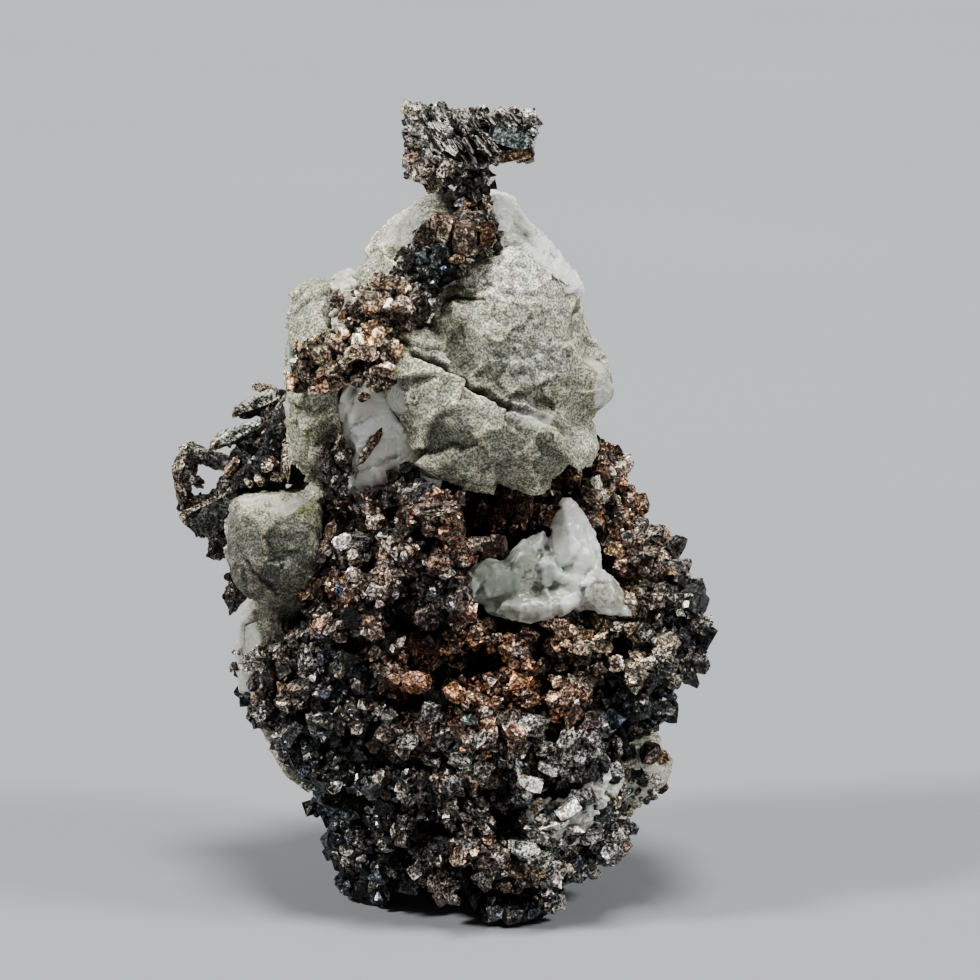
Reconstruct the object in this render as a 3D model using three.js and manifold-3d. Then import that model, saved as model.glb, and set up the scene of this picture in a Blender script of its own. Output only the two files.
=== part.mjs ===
// Native silver on its matrix: a mineral specimen that stands on three small flat patches.
// One pale grey-green rock carries white calcite. Dark tarnished silver crystals grow over both:
// a crown on a thin stem at the top, a seam running down from it, a spray of leaves on the left,
// and a thick hackly crust that hangs over the lower front and rises to a wing on the right.
// Millimetres, +Z up, the display face towards -Y.
import * as THREE from "three";
import { mergeVertices } from "three/addons/utils/BufferGeometryUtils.js";
import Module from "manifold-3d";

const wasm = await Module();
wasm.setup();

// ---------- driving dimensions ----------
const CLEARANCE = 0.3; // gap kept between two minerals that touch
const ROCK_GRAIN = 3.2; // spacing of the swellings on the rock
const ROCK_ROUGH = 0.4; // how far they stand out
const CALCITE_GRAIN = 1.8;
const CALCITE_ROUGH = 0.25;
const SILVER_GRAIN = 1.5; // spacing of the crystal clumps on the silver
const SILVER_ROUGH = 1.5;
const FINER = 2.3; // how much closer together the second, smaller swellings are
const SHARD_GRAIN = 0.8; // spacing of the swellings on a blade, as a share of half its size
const CRYSTAL_SIZES = [1.4, 2.8]; // smallest and largest silver crystal that stands out of the crust
const CRYSTAL_RISE = 0.1; // how far a crystal's middle stands off the surface, as a share of its size
const BARE_FOOT = 2.5; // height below which no crystals stand, so that the feet stay flat
const WELD = 1e-3; // vertices closer than this are one vertex
const TRIM_BLOCK = 200; // side of the block that cuts the underside flat

// ---------- repeatable randomness ----------
function randomFrom(seed) {
  let state = seed >>> 0;
  return () => {
    state = (state + 0x6d2b79f5) >>> 0;
    let mixed = Math.imul(state ^ (state >>> 15), state | 1);
    mixed ^= mixed + Math.imul(mixed ^ (mixed >>> 7), mixed | 61);
    return ((mixed ^ (mixed >>> 14)) >>> 0) / 2 ** 32;
  };
}

const randomDirection = (random) =>
  new THREE.Vector3(random() - 0.5, random() - 0.5, random() - 0.5).normalize();

function latticeValue(x, y, z, seed) {
  let hash = Math.imul(x, 374761393) ^ Math.imul(y, 668265263) ^ Math.imul(z, 1103515245) ^ seed;
  hash = Math.imul(hash ^ (hash >>> 13), 1274126177);
  return (((hash ^ (hash >>> 16)) >>> 0) / 2 ** 32) * 2 - 1;
}

// Smooth noise from -1 to 1 at a point, with its swellings one unit apart.
function noise(point, seed) {
  const cell = point.clone().floor();
  const within = point.clone().sub(cell);
  const ease = (t) => t * t * (3 - 2 * t);
  const share = (t, far) => (far ? ease(t) : 1 - ease(t));
  let sum = 0;
  for (const i of [0, 1]) {
    for (const j of [0, 1]) {
      for (const k of [0, 1]) {
        const weight = share(within.x, i) * share(within.y, j) * share(within.z, k);
        sum += weight * latticeValue(cell.x + i, cell.y + j, cell.z + k, seed);
      }
    }
  }
  return sum;
}

// ---------- closed bodies, and joining and cutting them ----------
function welded(geometry) {
  const bare = geometry.clone();
  bare.deleteAttribute("normal");
  bare.deleteAttribute("uv");
  return mergeVertices(bare, WELD);
}

function solidOf(geometry) {
  const closed = welded(geometry);
  const vertProperties = new Float32Array(closed.attributes.position.array);
  const triVerts = new Uint32Array(closed.index.array);
  return new wasm.Manifold(new wasm.Mesh({ numProp: 3, vertProperties, triVerts }));
}

function geometryOf(solid) {
  const mesh = solid.getMesh();
  const geometry = new THREE.BufferGeometry();
  geometry.setAttribute("position", new THREE.BufferAttribute(mesh.vertProperties, 3));
  geometry.setIndex(new THREE.BufferAttribute(mesh.triVerts, 1));
  geometry.computeVertexNormals();
  return geometry;
}

const joined = (solids) => solids.reduce((all, next) => all.add(next));
const unionOf = (geometries) => joined(geometries.map(solidOf));

// Moves every vertex to where a rule puts it; the rule gets the point and its outward direction.
function reshape(geometry, rule) {
  const { position, normal } = geometry.attributes;
  const point = new THREE.Vector3();
  const outward = new THREE.Vector3();
  for (let i = 0; i < position.count; i++) {
    point.fromBufferAttribute(position, i);
    if (normal) outward.fromBufferAttribute(normal, i);
    const moved = rule(point, outward);
    position.setXYZ(i, moved.x, moved.y, moved.z);
  }
  return geometry;
}

// The room a form needs: the form itself, swollen all round by the clearance.
function roomFor(geometries) {
  const swollen = geometries.map((geometry) => {
    const closed = welded(geometry);
    closed.computeVertexNormals();
    return reshape(closed, (point, outward) => point.addScaledVector(outward, CLEARANCE));
  });
  return unionOf(swollen);
}

// The largest connected body, which leaves out the slivers that a cut sheds.
function mainBody(solid) {
  return solid.decompose().sort((a, b) => b.volume() - a.volume())[0];
}

// ---------- natural forms ----------
// One column of a level table at a height, in straight lines between the levels.
function levelAt(levels, z, column) {
  const found = levels.findIndex((level) => level[0] >= z);
  const above = found < 0 ? levels.length - 1 : Math.max(found, 1);
  const [low, high] = [levels[above - 1], levels[above]];
  const share = THREE.MathUtils.clamp((z - low[0]) / (high[0] - low[0]), 0, 1);
  return THREE.MathUtils.lerp(low[column], high[column], share);
}

// Uneven swellings over a form.
function roughen(geometry, rough, grain, seed) {
  geometry.computeVertexNormals();
  return reshape(geometry, (point, outward) => {
    const coarse = noise(point.clone().divideScalar(grain), seed);
    const fine = noise(point.clone().divideScalar(grain / FINER), seed + 1);
    return point.addScaledVector(outward, rough * (coarse + fine / 2));
  });
}

// Broken faces: random planes round a form, each shaving up to a share of its reach in that direction.
// lean below 1 keeps the planes nearer upright.
function fracture(geometry, { faces, depth, lean = 1, seed }) {
  const random = randomFrom(seed);
  geometry.computeBoundingBox();
  const centre = geometry.boundingBox.getCenter(new THREE.Vector3());
  for (let face = 0; face < faces; face++) {
    const normal = randomDirection(random).multiply(new THREE.Vector3(1, 1, lean)).normalize();
    let reach = 0;
    reshape(geometry, (point) => {
      reach = Math.max(reach, normal.dot(point.clone().sub(centre)));
      return point;
    });
    const limit = reach * (1 - depth * random());
    reshape(geometry, (point) => {
      const arm = point.clone().sub(centre);
      const past = normal.dot(arm) / limit;
      return past > 1 ? centre.clone().addScaledVector(arm, 1 / past) : point;
    });
  }
  return geometry;
}

// A closed lump through a stack of levels, each [height, left, right, front, back].
// corner above 2 squares its plan, and cap above 2 flattens its two ends.
function lump(levels, { detail, corner = 2.6, cap = 5, rough, grain, seed, ...breaks }) {
  const [bottom, top] = [levels[0][0], levels[levels.length - 1][0]];
  const squared = (v) => Math.sign(v) * Math.abs(v) ** (2 / corner);
  const form = reshape(welded(new THREE.IcosahedronGeometry(1, detail)), (point) => {
    const z = THREE.MathUtils.mapLinear(point.z, -1, 1, bottom, top);
    const reach = Math.max(0, 1 - Math.abs(point.z) ** cap) ** (1 / cap);
    const around = Math.atan2(point.y, point.x);
    const [left, right, front, back] = [1, 2, 3, 4].map((column) => levelAt(levels, z, column));
    const x = (left + right + squared(Math.cos(around)) * reach * (right - left)) / 2;
    const y = (front + back + squared(Math.sin(around)) * reach * (back - front)) / 2;
    return point.set(x, y, z);
  });
  return fracture(roughen(form, rough, grain, seed), { faces: 0, depth: 0, seed, ...breaks });
}

// A blade, nugget or plate between two points: [from, to, width across the view, thickness into it].
function shard(
  [from, to, width, thickness],
  { detail = 1, taper = 0.3, rough = 0.15, faces = 8, depth = 0.35, seed },
) {
  const [start, end] = [new THREE.Vector3(...from), new THREE.Vector3(...to)];
  const axis = end.clone().sub(start);
  const direction = axis.clone().normalize();
  const away = new THREE.Vector3(0, 1, 0).addScaledVector(direction, -direction.y).normalize();
  const across = new THREE.Vector3().crossVectors(away, direction);
  const form = welded(new THREE.IcosahedronGeometry(1, detail));
  roughen(form, rough, SHARD_GRAIN, seed);
  fracture(form, { faces, depth, seed });
  reshape(form, (point) => {
    const narrowing = 1 - (taper * (point.z + 1)) / 2;
    point.x *= narrowing * (width / 2);
    point.y *= narrowing * (thickness / 2);
    point.z *= axis.length() / 2;
    return point;
  });
  form.applyMatrix4(new THREE.Matrix4().makeBasis(across, away, direction));
  const middle = start.add(end).divideScalar(2);
  return form.translate(middle.x, middle.y, middle.z);
}

// ---------- silver crystals ----------
const CRYSTAL_FORMS = [
  () => new THREE.BoxGeometry(1, 1, 1),
  () => new THREE.OctahedronGeometry(0.75),
  () => new THREE.BoxGeometry(1.3, 0.8, 0.6),
  () => new THREE.OctahedronGeometry(0.75).scale(1, 1, 1.5),
];

function crystal(at, size, random) {
  const form = CRYSTAL_FORMS[Math.floor(random() * CRYSTAL_FORMS.length)]();
  const turn = new THREE.Quaternion().setFromUnitVectors(new THREE.Vector3(0, 0, 1), randomDirection(random));
  const scale = new THREE.Vector3(size, size, size);
  return form.applyMatrix4(new THREE.Matrix4().compose(at, turn, scale));
}

// Crystals spread evenly by area over the part of a solid where keep says that one may stand.
function crystalsOn(solid, { count, sizes = CRYSTAL_SIZES, seed, keep }) {
  const random = randomFrom(seed);
  const corners = geometryOf(solid).toNonIndexed().attributes.position;
  const places = [];
  let area = 0;
  for (let i = 0; i < corners.count; i += 3) {
    const triangle = new THREE.Triangle().setFromAttributeAndIndices(corners, i, i + 1, i + 2);
    const normal = triangle.getNormal(new THREE.Vector3());
    if (keep(triangle.getMidpoint(new THREE.Vector3()), normal)) {
      area += triangle.getArea();
      places.push({ triangle, normal, area });
    }
  }
  return Array.from({ length: count }, () => {
    const target = random() * area;
    const { triangle, normal } = places.find((place) => place.area >= target);
    const [first, second] = [random(), random()].sort((a, b) => a - b);
    const at = new THREE.Vector3()
      .addScaledVector(triangle.a, first)
      .addScaledVector(triangle.b, second - first)
      .addScaledVector(triangle.c, 1 - second);
    const size = THREE.MathUtils.lerp(sizes[0], sizes[1], random() ** 2);
    return solidOf(crystal(at.addScaledVector(normal, size * CRYSTAL_RISE), size, random));
  });
}

// ---------- the matrix rock ----------
const rockLump = (levels, options) =>
  lump(levels, { detail: 2, rough: ROCK_ROUGH, grain: ROCK_GRAIN, faces: 14, depth: 0.16, ...options });

const backOfSpecimen = rockLump(
  [
    [6, -9.2, 11.8, 1, 12], [8.5, -11.8, 13.2, 0, 12.4], [11.5, -13.6, 14.2, -1, 12.8],
    [16, -15.2, 13.8, -1.5, 13], [21, -15.2, 14, -1.5, 12.8], [26, -13.8, 13, -1, 12.2],
    [31, -11.6, 10.8, -1, 11], [36, -11, 10.8, -1.5, 10.4], [42, -11, 10.4, -1.5, 10.2],
    [46, -8.4, 8, -1, 9], [50.4, -3.6, 4.2, 0, 6],
  ],
  { detail: 3, rough: 1.6, grain: 5, faces: 22, depth: 0.16, lean: 0.5, seed: 11 },
);

const lowerBack = rockLump(
  [
    [-1.6, -3, 7.6, 6.4, 10.8], [1.6, -5, 9.2, 4.6, 11.6], [6, -9.2, 11.6, 1.6, 12.2],
    [11, -12, 13, 0.4, 12.6], [17, -12, 12.6, 0.6, 12],
  ],
  { cap: 8, rough: 0.8, faces: 12, depth: 0.1, lean: 0.1, seed: 19 },
);

// The boulder is cracked through from its left side to its lower right.
const upperBoulder = rockLump(
  [
    [35.6, 1, 10.9, -6, 4], [38, -2.6, 12.5, -8.2, 6], [41, -4.4, 11.9, -9, 7],
    [43.2, -4.2, 10.9, -9, 7], [45.5, -0.8, 9.6, -8.4, 7], [47.3, 0.5, 8.1, -7.4, 6],
    [49.3, 1.4, 5.8, -5.8, 5], [50.5, 2.2, 4.8, -4.4, 4],
  ],
  { detail: 3, rough: 0.7, faces: 20, depth: 0.16, seed: 23 },
);
const lowerBoulder = rockLump(
  [
    [31.2, 1, 6, -7, 3], [33.4, -1.9, 9.8, -9, 4], [35.4, -3.6, 11.8, -9.8, 5],
    [36.6, -4, 10.4, -10.2, 5], [38.6, -4.4, 6.6, -10.2, 5], [41, -4.8, 3.2, -10, 5],
    [44.4, -4.8, -2.4, -9, 4],
  ],
  { rough: 0.6, faces: 12, depth: 0.12, seed: 31 },
);
// the crack between the two, as its line across the front [x, z] and how far it gapes at each end
const crackLine = [
  [-4.9, 44.1], [-2.9, 43.3], [-0.6, 42.3], [1.7, 40.8], [3.5, 39.3], [7, 37.3], [11.6, 35.8],
];
const CRACK_GAPE = { left: 0.9, right: 0.35 };
const CRACK_DEPTH = { inner: -7.6, outer: -12 };

function crackCut() {
  const gape = (i) => THREE.MathUtils.lerp(CRACK_GAPE.left, CRACK_GAPE.right, i / (crackLine.length - 1));
  const side = (sign) => crackLine.map(([x, z], i) => new THREE.Vector2(x, z + (sign * gape(i)) / 2));
  const outline = new THREE.Shape([...side(-1), ...side(1).reverse()]);
  const depth = CRACK_DEPTH.inner - CRACK_DEPTH.outer;
  const wedge = new THREE.ExtrudeGeometry(outline, { depth, bevelEnabled: false });
  return wedge.rotateX(Math.PI / 2).translate(0, CRACK_DEPTH.inner, 0);
}
const shoulderSlab = rockLump(
  [
    [42.4, -8.6, 1.5, -4.8, 5], [46.5, -7.4, 2.2, -5.4, 6], [49.2, -5.6, 2.4, -5, 6],
    [51.3, -3.6, 2, -4, 5], [53, -1.7, 1.3, -3, 3.5], [54, -0.8, 0.6, -2.2, 2],
  ],
  { faces: 8, depth: 0.1, seed: 41 },
);
const leftColumn = rockLump(
  [
    [31.2, -10.6, -8.4, -4.6, 3], [33.5, -11.4, -7.8, -6.4, 4], [37, -11.9, -7.4, -7.2, 5],
    [40, -11.9, -7.3, -7.2, 6], [42.5, -12.2, -7.2, -6.8, 6], [45, -11.7, -7.4, -6, 5],
    [46.9, -9.8, -7.4, -4.6, 4],
  ],
  { faces: 8, depth: 0.08, seed: 53 },
);
const leftBlock = rockLump(
  [
    [21.8, -12.4, -9.8, -4.8, 3], [24, -15.4, -9.3, -6.8, 4], [27.4, -16.7, -8.8, -7.5, 4],
    [30, -16.4, -8.5, -7.4, 4], [31.3, -15.6, -8.5, -6.4, 3.5],
  ],
  { corner: 4.2, cap: 12, faces: 5, depth: 0.06, seed: 61 },
);
const leftRim = rockLump(
  [
    [6.4, -10.6, -8, 0, 4], [9, -12.4, -8.6, -2.4, 4], [12, -14.2, -9, -3.8, 4],
    [15, -15.6, -10, -4.6, 4], [18, -16.3, -10.4, -5, 4], [21.5, -15.9, -9.8, -5, 4],
    [23.8, -14.6, -10, -4.4, 3],
  ],
  { rough: 1, grain: 2.2, faces: 6, depth: 0.1, seed: 71 },
);
const rightRim = rockLump(
  [
    [5, 8.4, 12.4, -4.4, 3], [7.6, 8.8, 14.2, -6, 3], [10.6, 9.4, 16.5, -6.6, 3],
    [12.6, 9.6, 15.8, -6.4, 3], [14.6, 10, 14.4, -5.4, 2],
  ],
  { rough: 1, grain: 2.2, faces: 6, depth: 0.1, seed: 79 },
);
const rockForms = [
  backOfSpecimen, lowerBack, upperBoulder, lowerBoulder, shoulderSlab,
  leftColumn, leftBlock, leftRim, rightRim,
];

// ---------- calcite ----------
const calciteLump = (levels, options) =>
  lump(levels, { detail: 2, rough: CALCITE_ROUGH, grain: CALCITE_GRAIN, faces: 16, depth: 0.16, ...options });

const calciteRim = calciteLump(
  [
    [42, 6, 10.9, -4.8, 6], [44.3, 5, 10.3, -5.4, 6.5], [46.2, 3, 9.6, -5.6, 6.5],
    [48, 2, 8.1, -5.4, 6.5], [49.7, 1.5, 6.4, -5, 6], [51.4, 1.6, 5.2, -4.4, 5],
    [52.9, 2, 4.2, -3.4, 3],
  ],
  { detail: 3, seed: 83 },
);
const calciteWindow = calciteLump(
  [
    [30.6, -6.6, -0.8, -5.4, 0], [33, -8, -0.4, -6.2, 0], [35.5, -8, -2, -6.6, 0],
    [38, -8, -3, -6.4, 0], [40.6, -8, -3, -5.6, 0],
  ],
  { seed: 89 },
);
const calciteSaddle = calciteLump(
  [
    [41.6, -9.6, -6, -6.6, 0], [44, -9.8, -5.4, -6.8, 2], [46, -9.4, -5.2, -5.8, 3],
    [47.4, -8.4, -6, -4.6, 2.4],
  ],
  { detail: 1, seed: 97 },
);
const calciteStreak = calciteLump(
  [
    [5, 5.6, 8, -9.4, -6], [7, 4.8, 10.4, -10.4, -6], [9.6, 5.2, 12.6, -10.6, -6],
    [12.4, 8, 13.2, -10, -6], [14, 10, 12.8, -8.6, -6],
  ],
  { detail: 1, seed: 101 },
);
// blades leaning together on the shelf of the hollow, each [from, to, width, thickness]
const calciteBlades = [
  [[9.6, -5.6, 22.6], [9.2, -5.2, 32.2], 4.4, 3.2], [[-0.2, -6.4, 24.4], [7, -6, 26.4], 4, 3.4],
  [[3.4, -6.4, 22.4], [6.8, -5.8, 28.8], 4.2, 3.4], [[3.6, -7.6, 23.4], [9.8, -7, 24.2], 3, 3],
  [[14, -6.6, 22.6], [7, -6.2, 26.8], 3.8, 3.2], [[6.2, -6, 22.6], [7.6, -5.8, 28.2], 4.8, 3],
];
const calciteCluster = calciteBlades.map((blade, i) => shard(blade, { taper: 0.2, rough: 0.3, seed: 3 + i }));

// ---------- silver ----------
const silverLump = (levels, options) =>
  lump(levels, { detail: 2, corner: 2.2, rough: SILVER_ROUGH, grain: SILVER_GRAIN, ...options });

const shield = silverLump(
  [
    [1.2, 0.4, 8, -8.6, 1], [2.6, -4.6, 10.2, -9, 2], [4.6, -8, 11.8, -9.2, 3],
    [7.4, -9.2, 12.4, -9.6, 3], [10, -10.4, 12.6, -10.4, 3], [13, -12, 13.2, -11.2, 3],
    [16, -13.2, 14.8, -11.4, 3], [18.6, -13.6, 16, -10.8, 2], [21, -13.4, 17, -10, 2],
    [22.9, -12.6, 17, -8.4, 2],
  ],
  { detail: 4, seed: 103 },
);
const leftRidge = silverLump(
  [
    [20.6, -11.8, 0.6, -10.2, 0], [24.5, -10.8, 0.6, -10.4, 0], [28, -8.8, 0.5, -9.8, 0],
    [30.4, -7.8, 0.4, -9, 0], [31.9, -6.8, -1, -7.6, -2],
  ],
  { seed: 107 },
);
const pillar = silverLump(
  [
    [24, -3, 1.2, -11, -5], [28, -3, 0.7, -11.2, -6], [30.6, -3.4, 0.7, -11.2, -6.6],
    [32.6, -3.8, 1, -11, -6.8],
  ],
  { rough: 0.8, cap: 8, seed: 109 },
);
const wing = silverLump(
  [
    [15, 11, 14.6, -7.6, 1], [17.4, 11, 16.4, -8, 3], [19.4, 11.4, 18.6, -8, 3.5],
    [21.6, 11.8, 20.3, -7.2, 4], [23.4, 11.8, 19, -6, 4.5], [25.2, 11.4, 16.6, -4.8, 5],
    [27.8, 10.6, 14.4, -3, 6], [30.4, 9.8, 12.8, -2, 6.4], [33, 9, 12, -1.4, 6.4],
    [35, 8.6, 10.6, -0.6, 5.4],
  ],
  { seed: 113 },
);
// silver on the back wall of the hollow, behind the calcite blades
const lining = silverLump(
  [[21, 0, 12, -3.4, 0], [26, -1, 12, -3.4, 0], [31, -0.6, 11, -3.6, 0], [34.4, 1, 9.6, -3.6, 0]],
  { detail: 1, rough: 0.6, seed: 119 },
);
const frontFoot = silverLump([[-1, 2.6, 6, -7.9, -5], [1.2, 1.4, 8.2, -9, -3], [4, -1.6, 9.4, -9.4, 0]], {
  detail: 1, rough: 0.6, cap: 8, seed: 127,
});
const leftFoot = silverLump([[-1, -7.4, -5, -3.6, -1], [1.6, -8.2, -3.8, -5.4, 1], [5, -8.8, -2, -8, 2]], {
  detail: 1, rough: 0.6, cap: 8, seed: 131,
});
const finger = shard([[-0.6, -8.2, 28], [3.8, -8.4, 28.8], 1.2, 1.1], { taper: 0.4, seed: 139 });
const crustForms = [shield, leftRidge, pillar, wing, lining, frontFoot, leftFoot, finger];

// the hollow scooped out below the calcite blades
const hollow = silverLump(
  [
    [17, 2, 9, -14, -9.4], [18.8, -1.2, 11.6, -14, -8.2],
    [21.4, -2.2, 12.4, -14, -7.6], [26, 1.4, 12, -14, -8.6],
  ],
  { rough: 1.2, seed: 149 },
);

const crownLeft = silverLump(
  [
    [54, -2, -0.4, -4.8, -3], [55.2, -2.9, 2, -6, -2],
    [57.4, -3.2, 2.4, -6.2, -1.6], [60, -2.7, -0.9, -5.2, -2.6],
  ],
  { detail: 1, corner: 2.6, rough: 0.9, seed: 151 },
);
const crownRight = silverLump(
  [
    [55, 1.4, 3.6, -5.2, -3], [55.8, -0.6, 5.6, -5.6, -2],
    [57.4, -1, 6.4, -5.8, -2], [59.3, 0, 6.8, -5.2, -2.4],
  ],
  { detail: 1, corner: 2.6, rough: 0.9, seed: 157 },
);
const stem = silverLump([[49.4, 0.9, 3.4, -6, -3.4], [52, 0.8, 3.1, -5.4, -3], [55.6, 0.4, 3, -5.2, -3]], {
  detail: 1, rough: 0.4, cap: 8, seed: 163,
});
// the seam, from the stem's foot down to the left, as clumps that overlap: [from, to, width, thickness]
const seamClumps = [
  [[2, -5.8, 52.4], [2, -6.8, 49], 4, 3], [[1, -6.6, 51], [-2.8, -7, 47.4], 3.6, 3.2],
  [[-1, -7.2, 48.8], [-5, -7.6, 44.4], 4.2, 3.2], [[-2.6, -7, 47.8], [-7.4, -7.4, 44.2], 3, 3],
  [[-4, -8.2, 45.6], [-5.4, -8.2, 39.8], 3.2, 2.8], [[-4.8, -8, 42.8], [-11.2, -7.8, 40.8], 3.6, 2.8],
];
const seam = seamClumps.map((clump, i) => shard(clump, { taper: 0, rough: 0.5, seed: 40 + i }));
const crownForms = [crownLeft, crownRight, stem, ...seam];

// leaves and plates behind the left block, each [root, tip, width, thickness]
const leafPlates = [
  [[-11, 3, 37.2], [-14.6, 3, 38.1], 0.9, 1.2], [[-11.6, 2.4, 37], [-16.2, 2.2, 36], 1.6, 1.4],
  [[-11, 2, 36.6], [-18, 1.4, 33.4], 1.6, 1.6], [[-15, 4, 31.6], [-20.2, 4.6, 33], 2, 2.2],
  [[-19.6, 4.8, 33.4], [-20, 4.4, 27.6], 1.8, 2], [[-15, 4.4, 29.4], [-20.6, 4.4, 28.4], 2.4, 2.2],
  [[-14.2, 1.4, 29.6], [-20.2, 1, 28.2], 4, 1.4], [[-15, 4, 27.6], [-18.8, 4, 24.6], 4, 3],
  [[-14.6, 3, 26], [-16.6, 3.4, 20.4], 3.4, 3], [[-12.2, -1.6, 36], [-11.8, -2.6, 30.6], 1.2, 1.2],
  [[-11.6, -2.4, 31.4], [-14.2, -2.8, 32.6], 1.6, 1.8],
];
const leafHeart = silverLump(
  [[24, -16.4, -12, 1, 6], [28, -17.4, -11, 0.6, 6], [32, -17, -10.6, 0, 6], [37, -12.6, -10, 0, 5]],
  { seed: 167 },
);
const leafOptions = { detail: 0, taper: 0.5, rough: 0.5, faces: 0 };
const leafPoints = leafPlates.map((plate, i) => shard(plate, { ...leafOptions, seed: 20 + i }));
const leafForms = [leafHeart, ...leafPoints];

// small silver growths on the calcite of the window and at the foot of the column, each a set of clumps
const windowTuft = [
  [[-0.6, -6.6, 36], [-1.6, -7.2, 33], 2.4, 2.2], [[-1.4, -6.8, 34.2], [-4, -7, 31.8], 2.4, 2.2],
];
const columnTuft = [
  [[-7.6, -6.8, 35.6], [-7.8, -7.4, 31.6], 1.6, 1.6], [[-8.8, -7.4, 35.4], [-8, -7.6, 33.2], 1.2, 1.2],
];
const tuftForms = (clumps, seed) =>
  clumps.map((clump, i) => shard(clump, { taper: 0.2, rough: 0.5, seed: seed + i }));
const thinBlade = shard([[-4.4, -6.4, 37.2], [-6.6, -7.6, 34], 1, 0.8], {
  detail: 0, taper: 0.1, faces: 0, seed: 37,
});

// ---------- materials ----------
const rockStone = new THREE.MeshStandardMaterial({ color: 0x9a9d8c, roughness: 0.95, metalness: 0 });
const whiteCalcite = new THREE.MeshStandardMaterial({ color: 0xd9ddd6, roughness: 0.45, metalness: 0 });
const tarnishedSilver = new THREE.MeshStandardMaterial({ color: 0x403c38, roughness: 0.45, metalness: 0.9 });

// ---------- assembly ----------
const specimen = new THREE.Group();
const trimBlock = new THREE.BoxGeometry(TRIM_BLOCK, TRIM_BLOCK, TRIM_BLOCK);
const belowFeet = solidOf(trimBlock.translate(0, 0, -TRIM_BLOCK / 2));

function addMineral(name, solid, material) {
  const mesh = new THREE.Mesh(geometryOf(mainBody(solid.subtract(belowFeet))), material);
  mesh.name = name;
  specimen.add(mesh);
}

// A silver growth with crystals standing on it, cut back from the room that something else takes.
function silverGrowth(forms, occupied, crystals) {
  const base = mainBody(unionOf(forms).subtract(occupied));
  return mainBody(joined([base, ...crystalsOn(base, crystals)]).subtract(occupied));
}

const rockRoom = roomFor(rockForms);
const notBehind = (point, normal) => normal.y < 0.3;
const aboveFoot = (point, normal) => notBehind(point, normal) && point.z > BARE_FOOT;
const outerLeaves = (point) => point.x < -13;
const hollowed = rockRoom.add(solidOf(hollow));
const crust = silverGrowth(crustForms, hollowed, { count: 36, seed: 5, keep: aboveFoot });
const crown = silverGrowth(crownForms, rockRoom, { count: 8, sizes: [1.2, 2], seed: 6, keep: notBehind });
const leaves = silverGrowth(leafForms, rockRoom, { count: 3, seed: 7, keep: outerLeaves });

addMineral("matrix_rock", unionOf(rockForms).subtract(solidOf(crackCut())), rockStone);
addMineral("silver_crust", crust, tarnishedSilver);
addMineral("silver_crown", crown, tarnishedSilver);
addMineral("silver_leaves", leaves, tarnishedSilver);

const silverRoom = roomFor([crust, crown, leaves].map(geometryOf));
const smallGrowths = {
  silver_window_tuft: tuftForms(windowTuft, 31),
  silver_column_tuft: tuftForms(columnTuft, 35),
  silver_blade: [thinBlade],
};
for (const [name, forms] of Object.entries(smallGrowths)) {
  addMineral(name, unionOf(forms).subtract(rockRoom).subtract(silverRoom), tarnishedSilver);
}

const taken = joined([rockRoom, silverRoom, roomFor(Object.values(smallGrowths).flat())]);
const calcites = {
  calcite_rim: [calciteRim],
  calcite_window: [calciteWindow],
  calcite_saddle: [calciteSaddle],
  calcite_streak: [calciteStreak],
  calcite_cluster: calciteCluster,
};
for (const [name, forms] of Object.entries(calcites)) {
  addMineral(name, unionOf(forms).subtract(taken), whiteCalcite);
}

// The origin is on the surface that the specimen stands on, under the middle of its bounding box.
const box = new THREE.Box3().setFromObject(specimen);
const middle = box.getCenter(new THREE.Vector3());
specimen.position.set(-middle.x, -middle.y, -box.min.z);

export default specimen;
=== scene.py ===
import math
from itertools import product

import bmesh
import bpy
import numpy as np
from mathutils import Euler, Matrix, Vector
from mathutils.bvhtree import BVHTree


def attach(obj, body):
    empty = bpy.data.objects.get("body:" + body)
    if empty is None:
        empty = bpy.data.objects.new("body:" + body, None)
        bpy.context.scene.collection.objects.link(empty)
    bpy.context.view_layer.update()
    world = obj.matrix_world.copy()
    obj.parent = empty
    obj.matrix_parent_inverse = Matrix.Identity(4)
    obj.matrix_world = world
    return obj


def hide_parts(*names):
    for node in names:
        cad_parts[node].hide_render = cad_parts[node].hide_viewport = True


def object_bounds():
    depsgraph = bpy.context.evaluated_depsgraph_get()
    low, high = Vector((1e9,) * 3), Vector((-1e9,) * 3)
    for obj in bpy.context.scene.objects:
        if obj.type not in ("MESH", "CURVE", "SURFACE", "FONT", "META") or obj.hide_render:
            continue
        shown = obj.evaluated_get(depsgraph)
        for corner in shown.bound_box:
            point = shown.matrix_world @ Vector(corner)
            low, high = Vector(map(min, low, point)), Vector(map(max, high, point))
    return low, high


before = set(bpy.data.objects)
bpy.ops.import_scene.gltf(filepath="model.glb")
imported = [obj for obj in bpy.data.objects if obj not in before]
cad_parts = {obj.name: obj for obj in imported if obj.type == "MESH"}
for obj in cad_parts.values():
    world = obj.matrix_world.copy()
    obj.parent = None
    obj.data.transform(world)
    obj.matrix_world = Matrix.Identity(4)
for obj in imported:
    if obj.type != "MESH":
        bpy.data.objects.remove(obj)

# Native silver on its matrix. Lengths below are in millimetres and become metres when a mesh is made.
MM = 0.001
CAD_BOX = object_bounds()
SHIFT = np.array([0.67, -0.51, 0.0])  # places below are given before the CAD part's last centring move
ROOM = 0.012  # share of the CAD box that growths may stand proud of it
FLOOR_GAP = 0.05
# the corners of the space that all growths keep to, with the floor as its bottom
LOW, HIGH = (np.array(corner) / MM for corner in CAD_BOX)
LOW, HIGH = LOW - (HIGH - LOW) * ROOM, HIGH + (HIGH - LOW) * ROOM
LOW[2] = 0.0

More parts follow.
